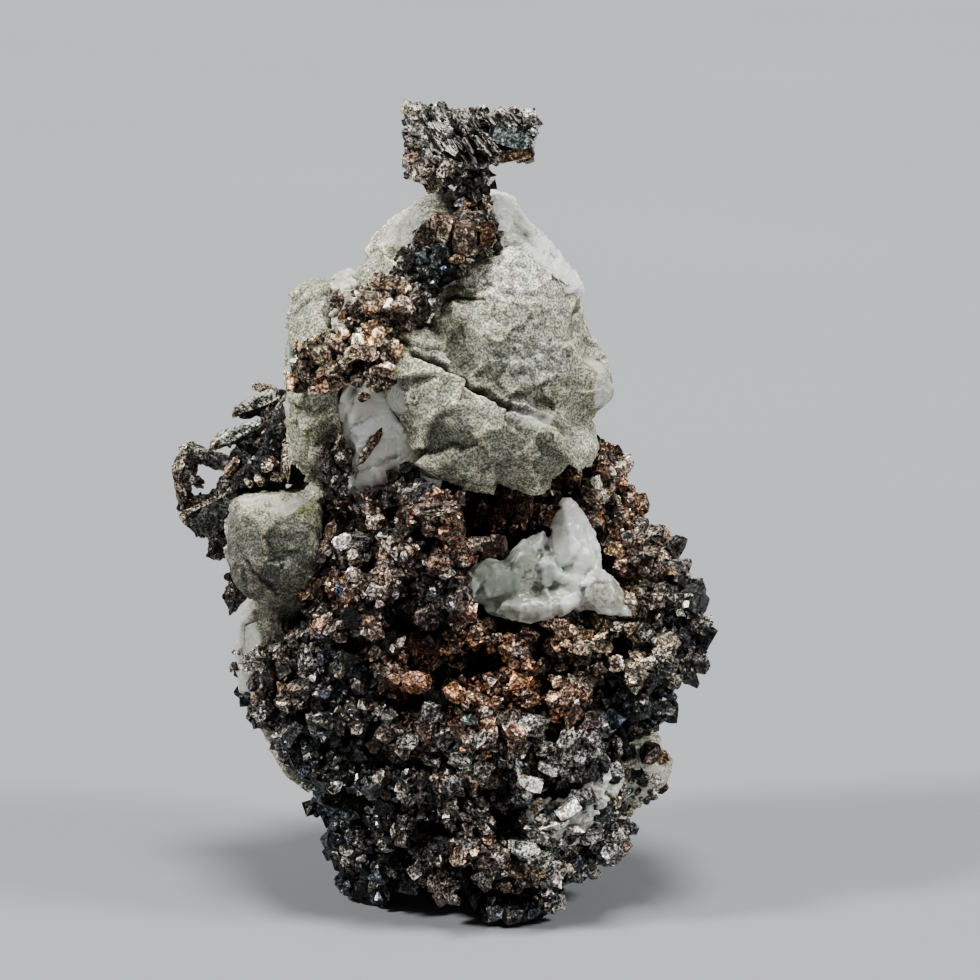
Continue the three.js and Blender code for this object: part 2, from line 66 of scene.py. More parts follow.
# the viewpoint
ELEVATION = math.radians(12.0)
DISTANCE = 242.0
AIM = np.array([3.77, -0.51, 30.9])
BACKWARD = np.array([0.0, -math.cos(ELEVATION), math.sin(ELEVATION)])
EYE = AIM + BACKWARD * DISTANCE


# ---------- arrays of points, and seeded noise on them ----------
def lengths(rows):
    return np.linalg.norm(rows, axis=1)


def dots(a, b):
    """The dot product of each row of a with the same row of b."""
    return np.einsum("ij,ij->i", a, b)


def on_front(points):
    """The x and z of points, as places on the front are given."""
    return (points - SHIFT)[:, [0, 2]]


def bell(away, width):
    """1 where a distance is 0, falling to both sides of it."""
    return np.exp(-((away / width) ** 2))


def nearness(flat, x, z, reach):
    """1 at a place on the front, falling off all round it."""
    return np.exp(-np.sum((flat - (x, z)) ** 2, axis=1) / reach**2)


def hashed(ix, iy, iz, seed):
    """A number from -1 to 1 for each lattice point."""
    h = (ix * 374761393 + iy * 668265263 + iz * 1103515245 + seed * 974634777) & 0xFFFFFFFF
    h = ((h ^ (h >> 13)) * 1274126177) & 0xFFFFFFFF
    h = ((h ^ (h >> 15)) * 668265263) & 0xFFFFFFFF
    return (h ^ (h >> 16)) / 2**31 - 1


def noise(points, seed):
    """Smooth value noise, with its swellings one unit apart."""
    cell = np.floor(points).astype(np.int64)
    t = points - cell
    t = t * t * t * (t * (t * 6 - 15) + 10)
    total = np.zeros(len(points))
    for corner in product((0, 1), repeat=3):
        total += np.prod(np.where(corner, t, 1 - t), axis=1) * hashed(*(cell + corner).T, seed)
    return total


def fractal(points, size, seed, octaves=3):
    """Noise with finer noise on it, each half as strong as the one before."""
    return sum(0.5**n * noise(points / size * 2.13**n, seed + n) for n in range(octaves))


def triple(points, size, seed):
    """Three numbers for each point, to shift it by."""
    return np.stack([fractal(points, size, seed + n, 2) for n in range(3)], 1)


NEAR_CELLS = list(product((-1, 0, 1), repeat=3))


def cells(points, size, seed):
    """How far each point's nearest scattered seed is, that seed's own three numbers, and where it lies."""
    p = points / size
    cell = np.floor(p).astype(np.int64)
    near = np.full(len(p), 9.0)
    own, centre = np.zeros((2, len(p), 3))
    for step in NEAR_CELLS:
        at = cell + step
        jitter = np.stack([hashed(*at.T, seed + n) for n in range(3)], 1)
        spot = at + 0.5 + 0.45 * jitter
        away = lengths(p - spot)
        closer = away < near
        near = np.where(closer, away, near)
        own[closer] = jitter[closer]
        centre[closer] = spot[closer]
    return near, own, centre * size


def leaning(points, warp, size, seed):
    """How high each point lies on the leaning flat face of the cell that it is in, once warped."""
    _, own, centre = cells(points + warp[:, None], size, seed)
    return dots(own, points - centre)


def smoothstep(low, high, x):
    t = np.clip((x - low) / (high - low), 0, 1)
    return t * t * (3 - 2 * t)


# ---------- meshes as arrays ----------
def read(items, key, kind=np.float32, width=3):
    """What a mesh keeps for each of its vertices, edges or faces, in rows."""
    found = np.empty(len(items) * width, kind)
    items.foreach_get(key, found)
    return found.reshape(-1, width)


def positions(mesh):
    return read(mesh.vertices, "co").astype(float) / MM


def set_positions(mesh, points):
    mesh.vertices.foreach_set("co", (points * MM).astype(np.float32).ravel())
    mesh.update()


def normals(mesh):
    return read(mesh.vertex_normals, "vector").astype(float)


def triangles(mesh):
    mesh.calc_loop_triangles()
    return read(mesh.loop_triangles, "vertices", np.int32)


def edges(mesh):
    return read(mesh.edges, "vertices", np.int32, 2)


def averaged(values, links, times=1):
    """Each vertex's values, averaged with its neighbours'."""
    count = len(values)
    a, b = links[:, 0], links[:, 1]
    degree = np.maximum(np.bincount(a, minlength=count) + np.bincount(b, minlength=count), 1)
    flat = values.reshape(count, -1)
    for _ in range(times):
        near = [
            np.bincount(a, column[b], count) + np.bincount(b, column[a], count) for column in flat.T
        ]
        flat = 0.5 * flat + 0.5 * np.stack(near, 1) / degree[:, None]
    return flat.reshape(values.shape)


def remeshed(node, ending, voxel, smoothing):
    """A fine even mesh of a CAD node's solid, with its edges worn down, named after the node."""
    source = bpy.data.objects.new("source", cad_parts[node].data.copy())
    bpy.context.scene.collection.objects.link(source)
    modifier = source.modifiers.new("Remesh", "REMESH")
    modifier.mode = "VOXEL"
    modifier.voxel_size = voxel * MM
    bpy.context.view_layer.update()
    depsgraph = bpy.context.evaluated_depsgraph_get()
    mesh = bpy.data.meshes.new_from_object(source.evaluated_get(depsgraph))
    mesh.name = node + ending
    mesh.materials.clear()
    bpy.data.objects.remove(source)
    if smoothing:
        set_positions(mesh, averaged(positions(mesh), edges(mesh), smoothing))
    return mesh


def refined(mesh, wanted, cuts):
    """Cuts the faces that meet a wanted vertex into smaller ones."""
    bm = bmesh.new()
    bm.from_mesh(mesh)
    chosen = {e for f in bm.faces if any(wanted[v.index] for v in f.verts) for e in f.edges}
    bmesh.ops.subdivide_edges(bm, edges=list(chosen), cuts=cuts, use_grid_fill=True)
    bmesh.ops.triangulate(bm, faces=[f for f in bm.faces if len(f.verts) > 4])
    bm.to_mesh(mesh)
    bm.free()
    mesh.update()


def raised(mesh, heights):
    """Moves each vertex along its normal."""
    set_positions(mesh, positions(mesh) + normals(mesh) * heights[:, None])


def kept_inside(mesh):
    """Holds a mesh within the space that all growths keep to."""
    set_positions(mesh, np.clip(positions(mesh), LOW, HIGH))


def curvature(mesh, times=2):
    """From -1 in a groove to 1 on a ridge."""
    links = edges(mesh)
    points = positions(mesh)
    spans = lengths(points[links[:, 0]] - points[links[:, 1]])
    ends = np.concatenate([links[:, 0], links[:, 1]])
    own = np.bincount(ends, np.tile(spans, 2), len(points))
    own = own / np.maximum(np.bincount(ends, minlength=len(points)), 1)
    bend = -dots(averaged(points, links) - points, normals(mesh))
    bend = bend / np.maximum(own, 1e-6) * 6
    return np.clip(averaged(bend, links, times), -1, 1)


def relief(mesh, times):
    """How far each vertex stands out of the surface as smoothed over a wide area, in millimetres."""
    points = positions(mesh)
    return dots(points - averaged(points, edges(mesh), times), normals(mesh))


def keep(mesh, name, values, domain="POINT"):
    """Keeps a number, or a colour in three numbers, on each vertex or face, for the shader to read."""
    if values.ndim == 1:
        kept = mesh.attributes.new(name, "FLOAT", domain)
        kept.data.foreach_set("value", values.astype(np.float32))
    else:
        kept = mesh.attributes.new(name, "FLOAT_COLOR", domain)
        full = np.concatenate([values, np.ones((len(values), 1))], 1)
        kept.data.foreach_set("color", full.astype(np.float32).ravel())


def mesh_from(name, points, faces):
    mesh = bpy.data.meshes.new(name)
    mesh.from_pydata([], [], [])
    mesh.vertices.add(len(points))
    mesh.vertices.foreach_set("co", (points * MM).astype(np.float32).ravel())
    mesh.loops.add(faces.size)
    mesh.loops.foreach_set("vertex_index", faces.astype(np.int32).ravel())
    mesh.polygons.add(len(faces))
    mesh.polygons.foreach_set("loop_start", np.arange(0, faces.size, 3, dtype=np.int32))
    mesh.update(calc_edges=True)
    mesh.validate()
    return mesh


def piece(mesh, material, nodes=(), smooth=False):
    """Puts a mesh in the scene under its own name, on the specimen's one body."""
    mesh.materials.append(material)
    mesh.polygons.foreach_set("use_smooth", np.full(len(mesh.polygons), smooth))
    made = bpy.data.objects.new(mesh.name, mesh)
    bpy.context.scene.collection.objects.link(made)
    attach(made, "root")
    if nodes:
        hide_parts(*nodes)


def tree_of(mesh):
    return BVHTree.FromPolygons([tuple(p) for p in positions(mesh)], [tuple(t) for t in triangles(mesh)])


def first_met(trees, start, direction, reach=1e4):
    """Where a line first meets any of the surfaces, and the normal there."""
    hits = [tree.ray_cast(start, direction, reach) for tree in trees]
    hits = [hit for hit in hits if hit[0] is not None]
    return min(hits, key=lambda hit: hit[3]) if hits else None


# ---------- tones, by where a mineral grows ----------
def linear(*srgb):
    """A colour given as 0 to 255, as the shaders count it."""
    c = np.array(srgb, float) / 255
    return np.where(c <= 0.04045, c / 12.92, ((c + 0.055) / 1.055) ** 2.4)


UMBER = linear(88, 74, 64)
BRONZE = linear(136, 112, 92)
COPPER = linear(140, 94, 62)
BRASS = linear(156, 134, 102)
GOLD = linear(204, 158, 104)
STEEL = linear(108, 107, 104)
SLATE = linear(56, 60, 62)
PALE = linear(208, 201, 187)
TEAL = linear(48, 78, 78)
NIGHT = linear(44, 58, 84)
OLIVE = linear(86, 92, 78)
FADED = linear(136, 146, 138)


def blended(points, rows, base, faint):
    """The numbers of the rows (x, z, reach, numbers), mixed by nearness on the front over a faint base."""
    flat = on_front(points)
    total = np.tile(base * faint, (len(points), 1))
    weight = np.full(len(points), faint)
    for x, z, reach, *numbers in rows:
        w = nearness(flat, x, z, reach)
        total += w[:, None] * np.hstack(numbers)
        weight += w
    return total / weight[:, None]


# (x, z) of the middle, reach, tone, share of crystals that get a painted glint
SILVER_TONES = [
    (1.8, 58.0, 4.2, STEEL * 1.05, 0.45),  # crown
    (4.6, 57.4, 1.4, TEAL * 0.5 + STEEL * 0.35, 0.2),  # crown arm
    (-1.4, 54.8, 1.3, BRONZE * 1.3, 0.3),  # crown lobe
    (5.0, 55.8, 1.1, COPPER, 0.1),  # crown underside
    (2.0, 53.4, 1.6, UMBER * 0.45, 0.12),  # stem
    (1.2, 50.4, 1.7, BRONZE * 0.45, 0.1),  # stem cubes
    (-1.0, 47.9, 1.6, TEAL * 0.8, 0.06),  # seam teal
    (-4.4, 45.4, 1.9, BRONZE * 1.5 + GOLD * 0.2, 0.4),  # seam left
    (-6.6, 40.8, 3.2, BRONZE * 1.0 + GOLD * 0.3, 0.35),  # nuggets
    (-15.0, 34.0, 4.2, SLATE * 0.7, 0.2),  # leaves
    (-18.5, 31.5, 2.4, UMBER * 0.9, 0.2),  # leaf ring
    (-17.0, 26.0, 3.0, UMBER * 0.6, 0.1),  # leaf foot
    (-6.0, 28.4, 2.6, BRONZE * 0.85, 0.3),  # ridge
    (-1.0, 28.6, 1.8, COPPER * 0.9, 0.2),  # pillar
    (-2.0, 25.0, 2.4, SLATE * 1.0, 0.15),  # pillar low
    (-8.6, 25.0, 2.4, COPPER * 0.75, 0.3),  # left slope top
    (-8.4, 20.5, 3.4, SLATE * 1.0, 0.22),  # left slope
    (-11.4, 18.6, 2.2, UMBER * 1.0, 0.3),  # left bulge
    (3.0, 18.0, 3.9, COPPER * 1.35, 0.22),  # hollow floor
    # the hollow's left, back and right are toned darker: painted shade in the hollow
    (-2.2, 21.6, 2.4, COPPER * 0.5, 0.15),  # hollow left
    (6.0, 30.0, 3.6, COPPER * 0.42, 0.2),  # hollow back
    (9.2, 18.2, 2.0, COPPER * 0.45, 0.12),  # hollow right
    (13.2, 28.4, 3.4, COPPER * 0.4 + BRONZE * 0.42, 0.25),  # wing top
    (12.6, 22.6, 2.6, BRASS * 0.8, 0.3),  # wing brass
    (18.0, 22.2, 2.8, SLATE * 0.8, 0.2),  # wing edge
    (14.6, 17.4, 2.8, SLATE * 0.85, 0.16),  # wing low
    (2.6, 12.6, 3.6, STEEL * 0.75, 0.25),  # steel band
    (9.4, 12.0, 3.0, STEEL * 0.65 + TEAL * 0.1, 0.2),  # steel right
    (-5.6, 11.4, 4.6, SLATE * 1.0, 0.2),  # low left
    (-3.0, 8.6, 1.8, UMBER * 0.8, 0.15),  # low rust
    (10.0, 6.0, 2.8, STEEL * 1.3, 0.5),  # low right
    (2.6, 4.6, 3.0, UMBER * 0.9, 0.22),  # low front
    (3.6, 0.8, 2.8, SLATE * 0.7, 0.15),  # foot
]


def tones_at(points):
    """The silver's tone and its share of crystals with a painted glint at each point."""
    ragged = points + 0.7 * triple(points, 2.2, 301)
    mixed = blended(ragged, SILVER_TONES, np.array([*SLATE, 0.1]), 0.03)
    return mixed[:, :3], mixed[:, 3]


# ---------- crystals ----------
def polyhedron(faces, roughness=0.0, cuts=0, seed=0, hopper=0.07):
    """The solid inside planes, each (normal, distance), one unit across its longest side.

    It is made of corners, triangles, how light each corner is and which side each triangle is on:
    edges, and the raised parts of a pitted crystal, are painted bright, as wear and as a painted highlight;
    the stepped-in middles of sides and the pits are painted dark, as painted shade.
    """
    bm = bmesh.new()
    bmesh.ops.create_cube(bm, size=4)
    for normal, distance in faces:
        n = Vector(normal).normalized()
        plane = dict(plane_co=n * distance, plane_no=n, clear_outer=True, dist=1e-5)
        bmesh.ops.bisect_plane(bm, geom=bm.verts[:] + bm.edges[:] + bm.faces[:], **plane)
        rim = [e for e in bm.edges if e.is_boundary]
        if rim:
            bmesh.ops.holes_fill(bm, edges=rim)
    bmesh.ops.remove_doubles(bm, verts=bm.verts[:], dist=0.02)
    corners = len(bm.verts)
    side = bm.faces.layers.int.new("side")
    for n, face in enumerate(bm.faces):
        face[side] = n
    if hopper and not cuts:
        wide = [f for f in bm.faces if f.calc_area() > 0.3 and len(f.verts) > 3]
        bmesh.ops.poke(bm, faces=wide, offset=-hopper)
    bmesh.ops.triangulate(bm, faces=bm.faces[:])
    if cuts:
        bmesh.ops.subdivide_edges(bm, edges=bm.edges[:], cuts=cuts, use_grid_fill=True)
        bmesh.ops.triangulate(bm, faces=bm.faces[:])
    bmesh.ops.recalc_face_normals(bm, faces=bm.faces[:])
    points = np.array([v.co[:] for v in bm.verts])
    tris = np.array([[v.index for v in f.verts] for f in bm.faces])
    sides = np.array([f[side] for f in bm.faces])
    bm.free()
    # corners painted bright, as wear and painted highlight; poked middles painted dark, as painted shade
    light = np.where(np.arange(len(points)) < corners, 1.3, 0.4)
    if roughness:
        out = points / lengths(points)[:, None]
        rise = fractal(points, 0.4, seed, 2)
        points = points + out * (roughness * rise)[:, None]
        # painted light where the surface rises, painted shade in the pits
        light = np.clip(0.85 + 1.5 * rise, 0.15, 1.7)
    return points / (2 * np.abs(points).max()), tris, light, sides


CUBE_FACES = [(1, 0, 0), (-1, 0, 0), (0, 1, 0), (0, -1, 0), (0, 0, 1), (0, 0, -1)]
CORNER_FACES = [(i, j, k) for i in (-1, 1) for j in (-1, 1) for k in (-1, 1)]


def cube_crystal(rng, stretch=(1, 1, 1), corner=1.35, **rough):
    """A cube or block with its corners cut, each by its own amount."""
    planes = [(n, 0.8 * rng.uniform(0.88, 1.06) * stretch[i // 2]) for i, n in enumerate(CUBE_FACES)]
    reach = 0.8 * np.linalg.norm(stretch) / math.sqrt(3)
    planes += [(n, reach * corner * rng.uniform(0.8, 1.1)) for n in CORNER_FACES]
    return polyhedron(planes, **rough)


def octahedral_crystal(rng, **rough):
    planes = [(n, 0.52 * rng.uniform(0.86, 1.12)) for n in CORNER_FACES]
    planes += [(n, 0.82 * rng.uniform(0.85, 1.1)) for n in CUBE_FACES]
    return polyhedron(planes, **rough)


def nugget_crystal(rng, count=13, **rough):
    """A rounded lump with random flat faces."""
    directions = rng.normal(size=(count, 3))
    planes = [(tuple(d), rng.uniform(0.5, 0.72)) for d in directions] + [(n, 0.8) for n in CUBE_FACES]
    return polyhedron(planes, **rough)


VARIANTS = 5


def crystal_set(seed, roughness=0.0, cuts=0):
    """Some crystals of every habit, pitted if they have a roughness."""
    rng = np.random.default_rng(seed)
    made = {}
    for habit, shape in {
        "cube": lambda **k: cube_crystal(rng, corner=rng.uniform(1.15, 1.55), **k),
        "octahedron": lambda **k: octahedral_crystal(rng, **k),
        "nugget": lambda **k: nugget_crystal(rng, **k),
        "bar": lambda **k: cube_crystal(rng, stretch=(0.6, 0.6, 1.25), corner=1.05, **k),
        # nothing grows as a plate, but its random draws come before those of the chips
        "plate": lambda **k: cube_crystal(rng, stretch=(1.05, 0.8, 0.28), corner=0.95, **k),
        "chip": lambda **k: nugget_crystal(rng, count=4, hopper=0, **k),
    }.items():
        made[habit] = [shape(roughness=roughness, cuts=cuts, seed=seed + n) for n in range(VARIANTS)]
    return made


FINE = crystal_set(3)
ROUGH = crystal_set(5, roughness=0.11, cuts=1)
LUMPY = crystal_set(13, roughness=0.16, cuts=2)
COARSE = crystal_set(7, roughness=0.14, cuts=3)
CRISP = crystal_set(9, roughness=0.05, cuts=2)
NUGGETS = crystal_set(17, roughness=0.1, cuts=1)


def rotations(z_axis, spin):
    """Turns that take +Z to each axis, after a spin about it."""
    z = z_axis / lengths(z_axis)[:, None]
    side = np.where(np.abs(z[:, [2]]) < 0.9, [[0.0, 0.0, 1.0]], [[1.0, 0.0, 0.0]])
    x = np.cross(side, z)
    x /= lengths(x)[:, None]
    y = np.cross(z, x)
    c, s = np.cos(spin)[:, None], np.sin(spin)[:, None]
    return np.stack([x * c + y * s, y * c - x * s, z], axis=2)


class Growth:
    """Crystals gathered into one mesh. The contrast is how much their sides differ in painted light and
    shade, drawn at random.
    """

    def __init__(self, contrast=0.5):
        self.points, self.faces, self.colours, self.facets, self.count = [], [], [], [], 0
        self.rng, self.contrast = np.random.default_rng(11), contrast

    def add(self, shape, at, turns, sizes, colours):
        """Copies of one shape: places (n, 3), turns (n, 3, 3), sizes (n, 3) and colours (n, 3)."""
        corners, tris, light, sides = shape
        moved = np.einsum("nij,nkj->nki", turns, corners[None] * sizes[:, None, :]) + at[:, None, :]
        fits = np.all((moved >= LOW) & (moved <= HIGH), axis=(1, 2))
        fits &= moved[:, :, 2].min(axis=1) > FLOOR_GAP
        moved, colours = moved[fits], colours[fits]
        starts = self.count + np.arange(len(moved)) * len(corners)
        self.points.append(moved.reshape(-1, 3))
        self.faces.append((tris[None] + starts[:, None, None]).reshape(-1, 3))
        self.colours.append((colours[:, None, :] * light[None, :, None]).reshape(-1, 3))
        # painted light and shade: each side of a crystal is made lighter or darker at random
        facets = self.rng.lognormal(-0.2, self.contrast, (len(moved), sides.max() + 1))
        self.facets.append(np.clip(facets, 0.2, 2.6)[:, sides].ravel())
        self.count += len(moved) * len(corners)

    def mesh(self, name):
        made = mesh_from(name, np.concatenate(self.points), np.concatenate(self.faces))
        keep(made, "tone", np.concatenate(self.colours))
        keep(made, "facet", np.concatenate(self.facets), "FACE")
        return made


def sphere_directions(count):
    """Directions spread evenly over a sphere."""
    n = np.arange(count) + 0.5
    z = 1 - 2 * n / count
    turn = n * math.pi * (3 - math.sqrt(5))
    r = np.sqrt(1 - z * z)
    return np.stack([r * np.cos(turn), r * np.sin(turn), z], 1)


SKY = [Vector(d) for d in sphere_directions(22)]


def openness(points, facing, trees, reach=2.6, start=0.12):
    """The share of the sky over each place that nothing within reach hides."""
    found = np.ones(len(points))
    for n, (point, normal) in enumerate(zip(points, facing)):
        at, up = Vector(point), Vector(normal)
        at += up * start
        seen = total = 0.0
        for direction in SKY:
            slope = direction.dot(up)
            if slope > 0.1:
                total += slope
                if not any(tree.ray_cast(at, direction, reach)[0] for tree in trees):
                    seen += slope
        found[n] = seen / total
    return found


def spots_on(mesh, count, rng, weigh, blocked):
    """Places and normals spread over the part of a mesh that lies in open air."""
    points, tris = positions(mesh), triangles(mesh)
    a, b, c = (points[tris[:, n]] for n in range(3))
    cross = np.cross(b - a, c - a)
    area = lengths(cross) / 2
    normal = cross / np.maximum(2 * area, 1e-9)[:, None]
    weight = np.cumsum(area * weigh((a + b + c) / 3, normal))
    picked = np.searchsorted(weight, rng.uniform(0, weight[-1], count))
    u, v = np.sort(rng.uniform(size=(2, count)), axis=0)
    at = a[picked] * u[:, None] + b[picked] * (v - u)[:, None] + c[picked] * (1 - v)[:, None]
    facing = normal[picked]
    open_air = np.array([
        not any(tree.ray_cast(Vector(p + n * 0.02), Vector(n), 0.9)[0] for tree in blocked)
        for p, n in zip(at, facing)
    ])
    return at[open_air], facing[open_air]


def thinned(at, sizes, apart):
    """Which crystals stand clear of the bigger ones before them."""
    grid, kept = {}, np.zeros(len(at), bool)
    cell = sizes.max() * apart
    for n in np.argsort(-sizes, kind="stable"):
        key = tuple(np.floor(at[n] / cell).astype(int))
        near = [m for i, j, k in NEAR_CELLS for m in grid.get((key[0] + i, key[1] + j, key[2] + k), ())]
        if all(np.sum((at[n] - at[m]) ** 2) > (apart * (sizes[n] + sizes[m]) / 2) ** 2 for m in near):
            kept[n] = True
            grid.setdefault(key, []).append(n)
    return kept


KNOB = 2.5  # how far apart the silver's knobs are
KNOB_SEED = 61
WARMER = np.array([1.0, 0.1, -1.1])
STANDING_OUT = 0.15  # how far a crystal's middle is from the surface, as a share of its size
# the largest crystals that may get a painted glint
LARGEST_BRIGHT = 1.15
NEAR_SIGHT = 1.2  # how close to a line of sight a surface is still taken as what the photograph shows there


def knob_of(points):
    """Which knob each point is on: the distance from its middle, and its own numbers."""
    return cells(points + 0.35 * triple(points, KNOB, KNOB_SEED + 9), KNOB, KNOB_SEED)[:2]


def grow(growth, mesh, blocked, *, count, sizes, seed, shapes, weigh, apart=0.8, skew=2.0, stretch=0.25,
         library=FINE, dim=1.0, parallel=0.12, clear=()):
    """Spreads crystals over a mesh, clear of some balls (x, y, z, radius); those on one knob lie parallel."""
    rng = np.random.default_rng(seed)
    at, facing = spots_on(mesh, count, rng, weigh, blocked)
    for ball in clear:
        outside = lengths(at - ball[:3]) > ball[3]
        at, facing = at[outside], facing[outside]
    size = sizes[0] + (sizes[1] - sizes[0]) * rng.uniform(size=len(at)) ** skew
    kept = thinned(at, size, apart)
    at, facing, size = at[kept], facing[kept], size[kept]
    near, own = knob_of(at)
    axis = own + parallel * rng.normal(size=at.shape)
    turns = rotations(axis, own[:, 0] * 3 + parallel * rng.normal(size=len(at)))
    tone, bright = tones_at(at)
    shade = openness(at, facing, [tree_of(mesh), *blocked])
    # painted shade: crystals in gaps, under less open sky, are darker, and so are those at the rim of a knob;
    # those in a knob's middle get painted light
    uneven = np.clip(0.3 * rng.normal(size=len(at)), -0.6, 0.34)
    level = np.exp(uneven + 0.42 * own[:, 1]) * dim * (0.03 + 1.25 * shade**2.2)
    level *= 1.35 - 1.1 * smoothstep(0.3, 0.7, near)
    warmth = np.clip(0.18 * rng.normal(size=len(at)), -0.25, 0.3) + 0.2 * own[:, 2]
    # painted glint: a share of the smaller crystals is mixed towards a pale colour
    glint = rng.uniform(size=len(at)) < np.where(size < LARGEST_BRIGHT, bright, 0.0)
    colour = tone * level[:, None] * np.exp(warmth[:, None] * WARMER)
    colour[glint] = colour[glint] * 0.6 + PALE * 0.42 * level[glint][:, None]
    wanted = rng.integers(0, len(shapes) * VARIANTS, len(at))
    for n, habit in enumerate(shapes):
        for m, shape in enumerate(library[habit]):
            these = wanted == n * VARIANTS + m
            grown = size[these][:, None] * (1 + stretch * rng.uniform(-1, 1, size=(these.sum(), 3)))
            place = at[these] + facing[these] * (size[these] * STANDING_OUT)[:, None]
            growth.add(shape, place, turns[these], grown, colour[these])


def passed(trees, sight):
    """Where a line of sight that misses the surfaces passes close by one, as a list like first_met's."""
    closest = None
    for away in np.arange(DISTANCE - 12.0, DISTANCE + 12.0, 0.5):
        at = Vector(EYE + sight * away)
        for tree in trees:
            surface, normal, face, gap = tree.find_nearest(at)
            if gap < (closest[3] if closest else NEAR_SIGHT):
                closest = [at.lerp(surface, 0.6), normal, face, gap]
    return closest


def plant(growth, trees, rows, seed, library):
    """Sets single crystals on whatever the line of sight to a place on the upright middle plane meets.

    Each row is x, z, width, depth, height, lean in degrees, tone, how far it stands out, and its habit
    unless that is a nugget. Returns a ball (x, y, z, radius) inside each of them.
    """
    rng = np.random.default_rng(seed)
    balls = []
    for x, z, *size, lean, tone, lift, habit in (row if len(row) == 9 else (*row, "nugget") for row in rows):
        sight = np.array([x, 0.0, z]) + SHIFT - EYE
        sight /= np.linalg.norm(sight)
        hit = first_met(trees, Vector(EYE), Vector(sight)) or passed(trees, sight)
        if hit is None:
            continue
        yaw, pitch = rng.uniform(-0.45, 0.45), rng.uniform(-0.25, 0.25)
        turn = np.array(Euler((0, math.radians(lean), 0)).to_matrix() @ Euler((pitch, 0, yaw)).to_matrix())
        shape = library[habit][rng.integers(VARIANTS)]
        place = np.array(hit[0]) - sight * lift
        grown = np.array(size) / np.ptp(shape[0], axis=0)
        growth.add(shape, place[None], turn[None], grown[None], np.array([tone]))
        balls.append((*place, 0.5 * (size[0] + size[2]) / 2))
    return balls


# ---------- shaders ----------
DRAWN_OUT = 3.0


class Shader:
    """A material's node tree, with short calls for the nodes that the minerals need."""

    def __init__(self, name, slant=None):
        """With a slant, in degrees down to the right, every pattern is drawn out along it."""
        self.material = bpy.data.materials.new(name)
        self.material.use_nodes = True
        self.nodes = self.material.node_tree.nodes
        self.links = self.material.node_tree.links
        self.bsdf = self.nodes["Principled BSDF"]
        self.place = self.nodes.new("ShaderNodeTexCoord").outputs["Object"]
        if slant is not None:
            turn = (0.0, math.radians(slant), 0.0)
            turned = self.node("Mapping", Vector=self.place, Rotation=turn, Scale=(DRAWN_OUT, 1.0, 1.0))
            turned.vector_type = "TEXTURE"
            self.place = turned.outputs["Vector"]

    def node(self, kind, **inputs):
        """A new node with these inputs set or linked."""
        made = self.nodes.new("ShaderNode" + kind)
        for name, value in inputs.items():
            self.put(made.inputs[name], value)
        return made

    def put(self, socket, value):
        if isinstance(value, bpy.types.NodeSocket):
            self.links.new(value, socket)
        elif isinstance(value, (tuple, list, np.ndarray)):
            socket.default_value = [*[float(v) for v in value][:3], 1.0][:len(socket.default_value)]
        else:
            socket.default_value = value

    def noise(self, size, detail=3.0, roughness=0.55, distortion=0.0):
        inputs = {"Detail": detail, "Roughness": roughness, "Distortion": distortion}
        return self.node("TexNoise", Vector=self.place, Scale=1 / (size * MM), **inputs).outputs["Fac"]

    def kept(self, name, output="Fac"):
        """What a mesh keeps under a name; see keep()."""
        made = self.node("Attribute")
        made.attribute_name = name
        return made.outputs[output]

    def ramp(self, value, *stops):
        """stops are (position, grey level or colour)."""
        made = self.node("ValToRGB", Fac=value)
        while len(made.color_ramp.elements) < len(stops):
            made.color_ramp.elements.new(1.0)
        for element, (position, level) in zip(made.color_ramp.elements, stops):
            element.position = position
            element.color = (*np.broadcast_to(level, 3).tolist(), 1.0)
        return made.outputs["Color"]

    def mix(self, share, a, b, kind="MIX"):
        made = self.node("MixRGB", Fac=share, Color1=a, Color2=b)
        made.blend_type = kind
        return made.outputs["Color"]

    def times(self, a, b):
        return self.mix(1.0, a, b, "MULTIPLY")

    def tinted(self, colour, share, factors):
        """A colour, multiplied by some factors where a mask is light."""
        return self.mix(share, colour, self.times(colour, factors))

    def bump(self, height, strength, distance, below=None):
        made = self.node("Bump", Strength=strength, Distance=distance * MM, Height=height)
        if below is not None:
            self.put(made.inputs["Normal"], below)
        return made.outputs["Normal"]

    def finish(self, **inputs):
        for name, value in inputs.items():
            self.put(self.bsdf.inputs[name.replace("_", " ").title().replace("Ior", "IOR")], value)
        return self.material


